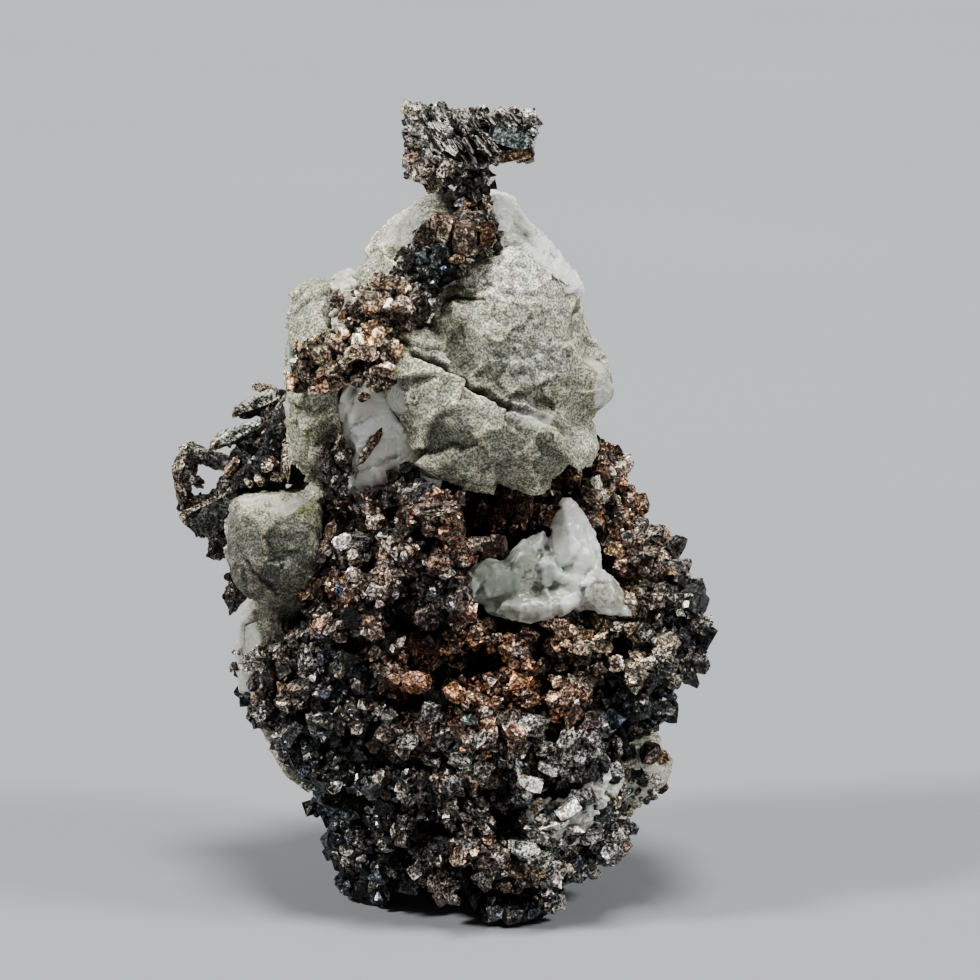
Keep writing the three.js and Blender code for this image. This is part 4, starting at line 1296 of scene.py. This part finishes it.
# single crystals and lumps that stand out; see plant() for what a row holds
CROWN_LUMPS = [
    (-2.5, 58.9, 1.5, 1.2, 1.3, 20, BRASS * 0.85, 0.1),
    (-1.3, 58.5, 1.2, 1.0, 0.8, 25, SLATE * 1.2, 0.1),
    (-2.2, 57.2, 2.2, 1.8, 2.0, 0, STEEL * 1.02, 0.2),
    (-2.6, 55.4, 1.2, 1.0, 1.2, 0, COPPER * 1.02, 0.1),
    (-1.7, 54.7, 1.1, 1.0, 1.1, 10, BRASS * 0.85, 0.2),
    (-0.8, 54.5, 1.2, 1.0, 1.2, 30, BRONZE * 1.02, 0.2),
    (0.0, 54.9, 1.4, 1.2, 1.4, 0, BRONZE * 1.19, 0.3),
    (0.6, 53.9, 1.0, 0.9, 1.0, 0, UMBER * 0.8, 0.2),
    (6.1, 58.2, 1.5, 1.4, 1.6, 10, STEEL * 1.36, 0.1),
    (4.9, 58.9, 1.3, 1.1, 0.7, 12, BRONZE * 1.19, 0.0),
    (3.8, 59.0, 1.3, 1.0, 0.7, 8, BRONZE * 1.02, 0.0),
    (2.7, 59.2, 1.1, 0.9, 0.9, 20, STEEL * 1.19, 0.0),
    (1.1, 53.2, 1.1, 1.0, 1.2, 10, STEEL * 0.6, 0.1),
    (2.2, 53.8, 1.0, 0.9, 1.0, 30, SLATE * 0.5, 0.1, "octahedron"),
    (2.7, 52.6, 0.8, 0.8, 0.9, 15, BRONZE * 0.6, 0.1, "cube"),
    (1.6, 52.2, 1.0, 0.8, 0.8, 10, COPPER * 0.6, 0.1),
    (2.8, 51.8, 1.0, 0.9, 1.0, 30, GOLD * 0.3, 0.1),
    (1.2, 51.5, 0.9, 0.9, 0.9, 45, COPPER * 0.5, 0.1, "cube"),
]
SMOOTH_CRYSTALS = [
    (-0.3, 50.6, 1.8, 1.4, 1.7, 14, BRONZE * 0.85, 0.4, "cube"),
    (1.4, 49.7, 1.8, 1.5, 2.3, -4, BRONZE * 0.7, 0.5, "cube"),
    (2.8, 50.0, 1.1, 1.1, 1.8, 6, COPPER * 0.55, 0.5, "cube"),
    (-1.5, 49.8, 1.4, 1.1, 1.3, 24, BRONZE * 0.4, 0.2, "cube"),
    (0.1, 49.2, 1.0, 0.8, 0.9, -10, COPPER * 0.35, 0.2, "cube"),
    (4.5, 57.0, 2.8, 1.0, 1.3, 18, TEAL * 0.4 + STEEL * 0.35, 0.0, "cube"),
    (4.9, 55.7, 2.1, 1.0, 0.8, -10, GOLD * 0.5, 0.0, "cube"),
    (12.3, 26.4, 1.2, 0.9, 1.0, 10, GOLD, 0.6, "cube"),
    (6.1, 8.3, 1.9, 1.0, 1.0, 12, PALE * 1.7, 0.4, "cube"),
    (8.4, 8.1, 1.7, 1.0, 1.3, -20, PALE * 0.8 + TEAL * 0.5, 0.4, "cube"),
    (7.5, 9.5, 1.5, 0.8, 0.8, 16, PALE * 1.6, 0.3, "cube"),
    (9.0, 6.2, 1.8, 0.9, 0.9, -36, PALE * 1.6, 0.4, "cube"),
    (10.3, 7.2, 2.2, 1.0, 1.6, 28, STEEL, 0.4, "octahedron"),
    (11.5, 6.2, 1.5, 1.0, 1.8, 10, SLATE * 0.9, 0.4, "cube"),
    (12.4, 7.1, 1.2, 0.9, 0.8, 24, BRASS, 0.3, "cube"),
    (7.4, 6.1, 1.5, 0.9, 1.1, 30, TEAL * 0.5, 0.2, "octahedron"),
    (8.1, 5.0, 2.5, 1.0, 0.9, -14, PALE * 1.8, 0.4, "octahedron"),
    (6.7, 4.3, 2.0, 1.0, 0.9, 20, STEEL * 1.5, 0.3, "cube"),
    (10.8, 4.2, 1.6, 1.0, 1.2, -24, STEEL, 0.3, "cube"),
    (9.6, 4.6, 1.3, 0.9, 0.8, 16, PALE * 0.9, 0.3, "octahedron"),
    (13.5, 10.6, 1.5, 1.1, 1.5, 30, SLATE * 0.8, 0.2, "octahedron"),
    (15.2, 10.6, 1.3, 1.0, 1.5, 15, UMBER * 0.5, 0.2, "cube"),
    (13.0, 9.3, 1.2, 0.9, 0.9, 10, BRONZE * 0.8, 0.2, "cube"),
    (16.1, 10.3, 0.9, 0.8, 0.8, -30, COPPER * 0.8, 0.1, "cube"),
]
SEAM_CRYSTALS = [
    (0.6, 48.2, 1.3, 1.0, 0.8, -18, GOLD * 0.68, 0.1),
    (-1.8, 48.2, 1.4, 1.1, 1.2, 30, TEAL * 0.7 + SLATE * 0.4, 0.1, "octahedron"),
    (-0.4, 48.8, 1.1, 1.0, 1.1, -14, TEAL * 0.6 + UMBER * 0.2, 0.1, "cube"),
    (-0.2, 47.4, 1.3, 1.0, 1.2, 22, NIGHT * 0.5 + SLATE * 0.3, 0.1, "octahedron"),
    (-2.4, 46.9, 1.3, 1.0, 0.9, -20, TEAL * 1.17 + BRONZE * 0.34, 0.1),
    (-1.2, 46.4, 1.2, 1.0, 1.0, 40, SLATE * 1.01, 0.0, "octahedron"),
    (-4.2, 46.4, 2.3, 1.6, 0.9, -6, BRASS * 1.26, 0.2),
    (-5.4, 44.9, 2.0, 1.6, 1.7, 10, BRASS * 0.9, 0.2),
    (-3.3, 44.6, 1.8, 1.5, 1.6, 30, UMBER * 1.52, 0.2),
    (-2.3, 45.3, 1.4, 1.2, 1.3, -10, UMBER * 1.17, 0.1),
    (-8.1, 44.8, 0.9, 0.8, 2.3, 12, UMBER * 1.17, 0.0, "bar"),
    (-7.0, 44.4, 0.8, 0.7, 1.3, -40, UMBER * 1.35, 0.0, "bar"),
    (-5.2, 42.8, 2.2, 1.4, 1.8, -12, GOLD * 0.93, 0.3),
    (-9.4, 41.2, 1.8, 1.3, 1.5, 20, BRASS * 1.1, 0.2),
    (-8.1, 41.9, 1.7, 1.0, 1.1, 40, BRONZE * 1.52, 0.2, "bar"),
    (-7.0, 41.0, 1.5, 1.2, 1.2, -25, BRASS * 1.17, 0.2),
    (-5.9, 41.4, 1.1, 1.0, 1.2, 10, BRONZE * 1.52, 0.2, "cube"),
    (-4.6, 40.1, 2.2, 1.3, 1.2, 14, BRONZE * 1.86, 0.2),
    (-6.6, 39.3, 1.6, 1.2, 1.4, -30, UMBER * 1.52, 0.2),
    (-8.3, 39.9, 1.6, 1.2, 1.4, 15, BRONZE * 1.52, 0.2),
    (-10.8, 39.9, 1.4, 1.1, 1.4, -10, UMBER * 1.35, 0.1),
    (-9.4, 39.0, 1.5, 1.1, 1.0, 25, COPPER * 1.35, 0.1),
    (-5.4, 38.7, 1.4, 1.1, 1.1, 0, BRASS * 1.35, 0.2),
    (-6.2, 37.9, 0.9, 0.8, 0.8, 0, BRONZE * 1.52, 0.1),
    (-4.3, 38.8, 0.9, 0.8, 0.8, 0, BRASS * 1.35, 0.1),
]
CRUST_CRYSTALS = [
    (-0.9, 29.5, 3.2, 2.0, 0.8, -4, BRONZE, 0.2, "cube"),
    (-0.9, 28.4, 2.2, 1.8, 1.8, 0, BRONZE * 0.5, 0.0, "cube"),
    (2.0, 26.7, 2.5, 1.0, 0.95, 6, BRONZE * 0.8, 0.1),
    (-6.9, 28.6, 1.3, 1.0, 1.3, 25, BRASS * 0.8, 0.2, "octahedron"),
    (-5.7, 28.3, 1.1, 1.0, 1.1, 40, BRONZE * 0.9, 0.1, "octahedron"),
    (-4.6, 27.3, 1.6, 1.2, 1.6, 12, STEEL * 0.6, 0.2, "octahedron"),
    (-6.5, 27.0, 1.4, 1.1, 1.2, 30, SLATE, 0.1, "cube"),
    (-3.4, 28.4, 1.4, 1.2, 1.4, 20, BRONZE * 0.7, 0.1, "octahedron"),
    (-7.9, 23.3, 1.3, 1.0, 1.1, 15, NIGHT * 0.7, 0.1, "cube"),
    (-9.2, 24.6, 1.6, 1.2, 1.3, 30, BRONZE * 0.9, 0.1),
    (-11.4, 19.4, 1.9, 1.5, 1.6, 10, UMBER * 1.2, 0.2),
    (-10.6, 17.8, 1.8, 1.4, 1.6, 40, STEEL * 0.7, 0.2),
    (-12.2, 18.0, 1.4, 1.2, 1.5, 10, UMBER, 0.1),
    (7.2, 17.5, 1.5, 1.2, 1.5, 8, GOLD * 0.8, 0.3, "octahedron"),
    (8.4, 17.9, 0.9, 0.8, 0.9, 30, COPPER * 0.6, 0.1, "octahedron"),
    (5.0, 18.4, 1.4, 1.0, 0.9, 15, BRONZE * 0.8, 0.1),
    (10.6, 21.5, 2.2, 1.2, 1.2, 28, BRASS * 0.9, 0.3),
    (12.4, 20.6, 1.8, 1.2, 1.1, 25, BRASS * 0.8, 0.3),
    (8.0, 20.6, 2.4, 1.4, 1.3, -6, COPPER * 0.75, 0.3),
    (5.8, 19.8, 1.6, 1.1, 1.2, 24, COPPER * 0.6, 0.2, "cube"),
    (3.6, 19.6, 1.1, 0.9, 1.0, 30, BRASS * 0.6, 0.1, "octahedron"),
    (15.0, 27.4, 2.4, 1.8, 1.9, 0, UMBER * 1.1, 0.3),
    (17.0, 26.6, 1.6, 1.3, 1.6, 20, SLATE * 0.9, 0.1),
    (16.9, 24.9, 2.2, 1.5, 1.8, 15, STEEL, 0.3),
    (13.2, 24.9, 2.4, 1.5, 1.6, 10, COPPER * 0.7, 0.2),
    (18.6, 23.2, 1.6, 1.3, 1.8, 0, SLATE * 0.8, 0.1),
    (15.2, 22.4, 2.0, 1.4, 1.2, -8, UMBER * 0.9, 0.2, "cube"),
    (17.2, 21.0, 1.7, 1.3, 1.6, 20, SLATE * 1.1, 0.2),
    (14.6, 19.8, 1.6, 1.3, 1.6, 40, STEEL * 0.6, 0.2),
    (12.6, 17.6, 1.5, 1.2, 1.4, 30, BRONZE * 0.9, 0.2, "octahedron"),
    (11.2, 17.2, 1.4, 1.2, 1.2, 10, BRONZE * 0.8, 0.2, "octahedron"),
    (16.0, 17.2, 2.2, 1.5, 1.6, -30, SLATE * 1.1, 0.2),
    (-1.4, 13.8, 1.3, 1.1, 1.5, 12, STEEL * 0.7, 0.3, "cube"),
    (-0.2, 13.2, 1.0, 0.9, 1.2, -14, BRONZE * 0.7, 0.2),
    (1.6, 13.2, 1.7, 1.1, 1.0, 12, TEAL * 0.6 + SLATE * 0.5, 0.2, "octahedron"),
    (-0.6, 11.9, 1.6, 1.2, 2.0, 24, STEEL * 0.75, 0.3),
    (1.0, 10.2, 2.2, 1.5, 1.8, 20, STEEL * 0.95, 0.5),
    (2.4, 9.3, 1.6, 1.3, 1.3, 35, STEEL * 0.7, 0.4),
    (3.5, 8.7, 2.1, 1.5, 1.9, 20, STEEL * 0.85, 0.5),
    (2.2, 11.7, 1.5, 1.1, 1.2, -20, STEEL * 0.6, 0.2),
    (-3.2, 11.6, 1.6, 1.2, 1.6, 30, STEEL * 0.6, 0.2),
    (6.2, 12.6, 2.6, 1.4, 1.6, 15, STEEL * 0.7, 0.2),
    (8.9, 11.2, 1.9, 1.4, 2.6, 16, STEEL * 0.75 + TEAL * 0.1, 0.4),
    (10.7, 11.0, 1.6, 1.3, 2.0, -24, STEEL * 0.7, 0.3),
    (7.0, 11.2, 1.5, 1.2, 1.4, 30, OLIVE * 0.6, 0.2),
    (9.5, 9.2, 1.7, 1.3, 2.2, 0, STEEL * 0.8, 0.3),
    (11.8, 8.6, 2.8, 1.4, 1.5, -24, SLATE * 1.2, 0.3),
    (2.6, 3.9, 2.2, 1.4, 1.4, 14, COPPER * 0.55, 0.3),
    (1.2, 5.6, 1.8, 1.2, 1.1, 20, BRONZE * 0.5 + NIGHT * 0.4, 0.2),
    (6.6, 2.2, 2.2, 1.4, 1.4, 20, OLIVE * 0.8, 0.3),
    (8.4, 2.6, 1.6, 1.2, 1.2, -14, STEEL * 0.7, 0.2),
    (10.8, 4.8, 1.6, 1.2, 1.2, 10, BRASS * 0.7, 0.2),
    (12.0, 6.0, 1.3, 1.0, 1.0, 30, STEEL * 0.8, 0.2),
    (-1.6, 7.2, 1.3, 1.1, 1.3, 15, OLIVE * 0.8, 0.2),
    (-4.2, 8.2, 1.4, 1.1, 1.0, 0, OLIVE * 0.9, 0.2),
    (-6.8, 12.8, 1.4, 1.1, 1.4, 30, UMBER * 0.8, 0.2, "cube"),
    (5.4, 29.6, 1.8, 1.2, 2.2, 10, COPPER * 0.55, 0.3, "cube"),
    (7.3, 28.9, 0.9, 0.8, 1.6, 6, BRONZE * 0.9, 0.3, "cube"),
    (4.3, 30.6, 1.3, 1.0, 1.4, 30, COPPER * 0.7, 0.3, "octahedron"),
    (9.4, 31.8, 1.3, 1.1, 1.5, 14, COPPER * 0.9, 0.3),
    (10.8, 31.2, 1.2, 1.0, 1.3, -14, PALE * 0.4, 0.3),
    (12.2, 30.2, 1.4, 1.1, 1.2, 20, BRONZE, 0.3),
    (-3.4, 31.2, 1.2, 1.0, 2.0, 40, BRONZE, 0.2, "bar"),
]
LEAF_PLATES = [
    (-15.6, 35.3, 4.3, 1.0, 0.95, -27, FADED * 1.5, 0.6, "cube"),
    (-17.3, 34.4, 1.1, 0.9, 0.8, -27, BRASS * 0.95, 0.5),
    (-14.2, 37.6, 3.6, 1.0, 0.8, -26, OLIVE * 1.9, 0.5, "cube"),
    (-15.7, 36.8, 0.9, 0.8, 0.6, -20, BRASS * 0.78, 0.4),
    (-13.4, 38.5, 1.9, 0.8, 0.75, 18, BRONZE * 0.86, 0.3, "cube"),
    (-14.4, 38.8, 0.7, 0.6, 0.7, 0, BRASS * 0.78, 0.3),
    (-13.2, 36.8, 2.4, 0.7, 0.65, -62, BRONZE * 0.78, 0.5, "cube"),
    (-12.1, 37.2, 2.4, 0.9, 1.0, -52, OLIVE * 1.7, 0.4, "cube"),
    (-12.0, 33.1, 0.75, 0.8, 3.4, 4, BRASS * 0.78, 0.5, "cube"),
    (-13.5, 32.6, 0.9, 0.8, 0.9, 20, BRASS * 1.04, 0.4),
    (-12.8, 31.9, 0.9, 0.8, 0.8, 40, BRASS * 0.86, 0.4),
    (-13.9, 31.6, 0.9, 0.8, 0.8, 0, BRONZE * 1.04, 0.4),
    (-14.7, 31.4, 0.8, 0.7, 0.7, 0, BRASS * 0.78, 0.3),
    (-12.9, 33.0, 0.8, 0.7, 0.8, 0, COPPER * 0.86, 0.3),
    (-14.9, 33.6, 2.2, 1.0, 0.8, 40, SLATE * 1.04, 0.1, "cube"),
    (-13.6, 34.8, 1.8, 1.0, 0.8, -50, UMBER * 0.95, 0.1, "cube"),
    (-15.9, 32.8, 1.8, 1.0, 0.9, -60, COPPER * 0.78, 0.2),
    (-19.3, 34.1, 1.7, 1.1, 1.1, -30, BRASS * 0.78, 0.2),
    (-18.1, 33.7, 2.2, 1.1, 1.0, 18, OLIVE * 0.78, 0.2),
    (-16.8, 33.0, 2.2, 1.1, 1.0, 24, SLATE * 1.12, 0.1),
    (-20.0, 32.5, 1.1, 1.0, 2.4, 10, BRASS * 0.52, 0.0),
    (-19.7, 30.6, 1.1, 1.0, 2.4, -16, BRONZE * 0.6, 0.0),
    (-18.4, 31.4, 1.0, 1.0, 1.6, -50, UMBER * 0.86, 0.0),
    (-17.7, 28.9, 3.8, 0.7, 2.2, -24, SLATE * 0.43, 0.1, "cube"),
    (-17.7, 30.0, 4.2, 0.9, 0.5, -24, BRONZE * 0.86, 0.4, "cube"),
    (-19.4, 28.6, 1.6, 0.8, 0.6, 55, BRONZE * 0.78, 0.3, "cube"),
]
STREAK_PLATES = [
    (5.7, 6.5, 2.2, 1.2, 1.7, 10, PALE * 1.5, 0.3),
    (5.8, 2.9, 2.4, 1.4, 1.8, 10, FADED * 0.9, 0.3),
]


def hackly_slats():
    """The parallel slats across the hammer, leaning down to the right."""
    rng = np.random.default_rng(301)
    rows = []
    for left, left_z, right, right_z, count in ((-1.2, 58.0, 5.0, 58.2, 12), (-0.8, 56.6, 3.9, 56.3, 9)):
        for n in range(count):
            share = n / (count - 1)
            x = left + (right - left) * share + rng.uniform(-0.15, 0.15)
            z = left_z + (right_z - left_z) * share + rng.uniform(-0.3, 0.3)
            # a slat is toned pale, bright steel or faded grey, as a painted highlight, or dark slate, at
            # random
            tone = (STEEL * 1.6, PALE * 0.85, SLATE * 0.5, FADED * 1.0)[rng.integers(4)]
            size = (1.9 * rng.uniform(0.6, 1.1), 0.8, rng.uniform(0.22, 0.36))
            rows.append((x, z, *size, 50 + rng.uniform(-10, 10), tone, 0.15, "cube"))
    return rows


crown_tree, crust_tree, leaves_tree, streak_tree = (tree_of(m) for m in (crown, crust, leaves, streak))
features = Growth(0.5)
single = plant(features, [crust_tree, *around], CRUST_CRYSTALS, 401, COARSE)
plant(features, [streak_tree, crust_tree], STREAK_PLATES, 403, COARSE)
seam = Growth(0.95)
seamed = plant(seam, [crown_tree, *around], SEAM_CRYSTALS, 409, CRISP)
smooth = Growth(0.5)
seamed += plant(smooth, [crown_tree, crust_tree, streak_tree, *around], SMOOTH_CRYSTALS, 413, CRISP)
top = Growth(0.65)
lumps = plant(top, [crown_tree], CROWN_LUMPS, 405, LUMPY)
slats = Growth(0.4)
plant(slats, [crown_tree], hackly_slats(), 407, ROUGH)
spray = Growth(0.55)
plant(spray, [leaves_tree], LEAF_PLATES, 411, LUMPY)

large = Growth(0.5)
grow(large, crust, around, count=700, sizes=(0.9, 1.6), seed=201, weigh=by_nearness(0.04, 1, LUMPY_SPOTS),
     clear=single, shapes=["nugget"], apart=0.92, library=ROUGH, skew=1.4, stretch=0.45, dim=0.84)
medium = Growth(0.75)
grow(medium, crust, around, count=850, sizes=(0.8, 1.5), seed=219, weigh=by_nearness(1, -0.6, LUMPY_SPOTS),
     clear=single, shapes=["cube", "octahedron", "nugget"], apart=0.95, skew=1.5, stretch=0.35, dim=0.95,
     parallel=0.3)
grow(medium, crust, around, count=7600, sizes=(0.45, 1.1), seed=203, weigh=by_nearness(0.3, 1, SHARP_SPOTS),
     clear=single, shapes=["cube", "octahedron", "octahedron", "nugget"], dim=0.88)
small = Growth(0.75)
grow(small, crust, around, count=5600, sizes=(0.24, 0.5), seed=205, weigh=crust_weight, clear=single,
     shapes=["chip"], apart=1.0)
grow(small, streak, [rock_tree, crust_tree], count=420, sizes=(0.3, 0.9), seed=215, weigh=clump_weight,
     shapes=["cube", "nugget"])
grow(small, rock, [], count=260, sizes=(0.3, 0.9), seed=217, weigh=edge_weight, shapes=["cube", "nugget"],
     apart=0.9)
grow(seam, crown, around, count=700, sizes=(0.75, 1.35), seed=221, weigh=nugget_weight, clear=seamed,
     shapes=["nugget", "bar"], apart=1.08, skew=1.0, parallel=0.35, library=NUGGETS, dim=1.75)
grow(top, crown, around, count=900, sizes=(0.35, 0.95), seed=207, weigh=stem_weight,
     clear=[*seamed, *lumps], shapes=["nugget", "nugget", "cube"], apart=1.0, parallel=0.6, library=ROUGH)
grow(spray, leaves, [rock_tree], count=260, sizes=(0.3, 0.7), seed=209, weigh=front_weight,
     shapes=["nugget", "nugget", "cube"], apart=1.2, parallel=0.6, library=ROUGH)
tufts = Growth()
grow(tufts, window_tuft, [rock_tree], count=220, sizes=(0.4, 1.0), seed=211, weigh=front_weight,
     shapes=["cube", "nugget"], dim=0.6)
grow(tufts, column_tuft, [rock_tree], count=180, sizes=(0.4, 0.9), seed=213, weigh=front_weight,
     shapes=["cube", "nugget", "bar"], apart=0.9, dim=0.5)

for mesh, material, slot, is_smooth in (
    (rock, ROCK, "matrix", True),
    (crust, SILVER, "crust_silver", False),
    (crown, HACKLY, "crown_silver", False),
    (leaves, SILVER, "leaf_silver", False),
    (window_tuft, SILVER, "bronzed_silver", False),
    (column_tuft, SILVER, "bronzed_silver", False),
    (blade, BRONZED, "bronzed_silver", False),
    (rim, CALCITE, "calcite", False),
    (window, CALCITE, "calcite", False),
    (saddle, CALCITE, "calcite", False),
    (cluster, CLEAR_CALCITE, "calcite", True),
    (streak, CALCITE, "calcite", False),
):
    piece(mesh, material, [mesh.name.rsplit("_", 1)[0]], is_smooth)

for name, growth, material, slot in (
    ("crust_crystals_large", large, SILVER, "crust_silver"),
    ("crust_crystals_medium", medium, SHARP, "crust_silver"),
    ("crust_crystals_small", small, SHARP, "crust_silver"),
    ("crust_crystals_single", features, SILVER, "crust_silver"),
    ("crown_crystals", top, SILVER, "crown_silver"),
    ("crown_slats", slats, HACKLY, "crown_silver"),
    ("seam_crystals", seam, BRONZED, "crown_silver"),
    ("smooth_crystals", smooth, SMOOTH, "crown_silver"),
    ("leaf_crystals", spray, SILVER, "leaf_silver"),
    ("tuft_crystals", tufts, SILVER, "bronzed_silver"),
):
    piece(growth.mesh(name), material)

# ---------- floor, light and camera ----------
floor = bpy.data.objects.new("floor", mesh_from(
    "floor", np.array([[-4000, -4000, 0], [4000, -4000, 0], [4000, 4000, 0], [-4000, 4000, 0]], float),
    np.array([[0, 1, 2], [0, 2, 3]]),
))
bpy.context.scene.collection.objects.link(floor)
paint = Shader("floor_paint")
floor.data.materials.append(paint.finish(
    base_color=paint.ramp(paint.noise(260.0, 2), (0.3, linear(140, 141, 144)), (0.7, linear(143, 144, 147))),
    roughness=0.85,
))


def softbox(name, towards, strength, spread):
    """A far-off soft light: the direction that it stands in, and how many degrees wide it looks."""
    data = bpy.data.lights.new(name, "SUN")
    data.energy = strength
    data.angle = math.radians(spread)
    made = bpy.data.objects.new(name, data)
    made.rotation_euler = Vector(towards).to_track_quat("Z", "Y").to_euler()
    bpy.context.scene.collection.objects.link(made)


softbox("soft_left", (-1.0, -0.4, 0.95), 3.7, 10)
softbox("soft_right", (1.0, -0.35, 0.9), 2.6, 12)
softbox("soft_top", (0.05, -0.2, 1.0), 4.2, 16)

world = bpy.data.worlds.new("studio")
world.use_nodes = True
world.node_tree.nodes["Background"].inputs["Color"].default_value = (0.52, 0.515, 0.51, 1.0)
world.node_tree.nodes["Background"].inputs["Strength"].default_value = 0.18
bpy.context.scene.world = world

camera_data = bpy.data.cameras.new("camera")
camera_data.lens = 120.0
camera_data.sensor_width = 36.0
camera_data.clip_start = 0.01
camera_data.clip_end = 20.0
camera = bpy.data.objects.new("camera", camera_data)
camera.location = Vector(EYE) * MM
camera.rotation_euler = Vector(-BACKWARD).to_track_quat("-Z", "Y").to_euler()
bpy.context.scene.collection.objects.link(camera)
bpy.context.scene.camera = camera
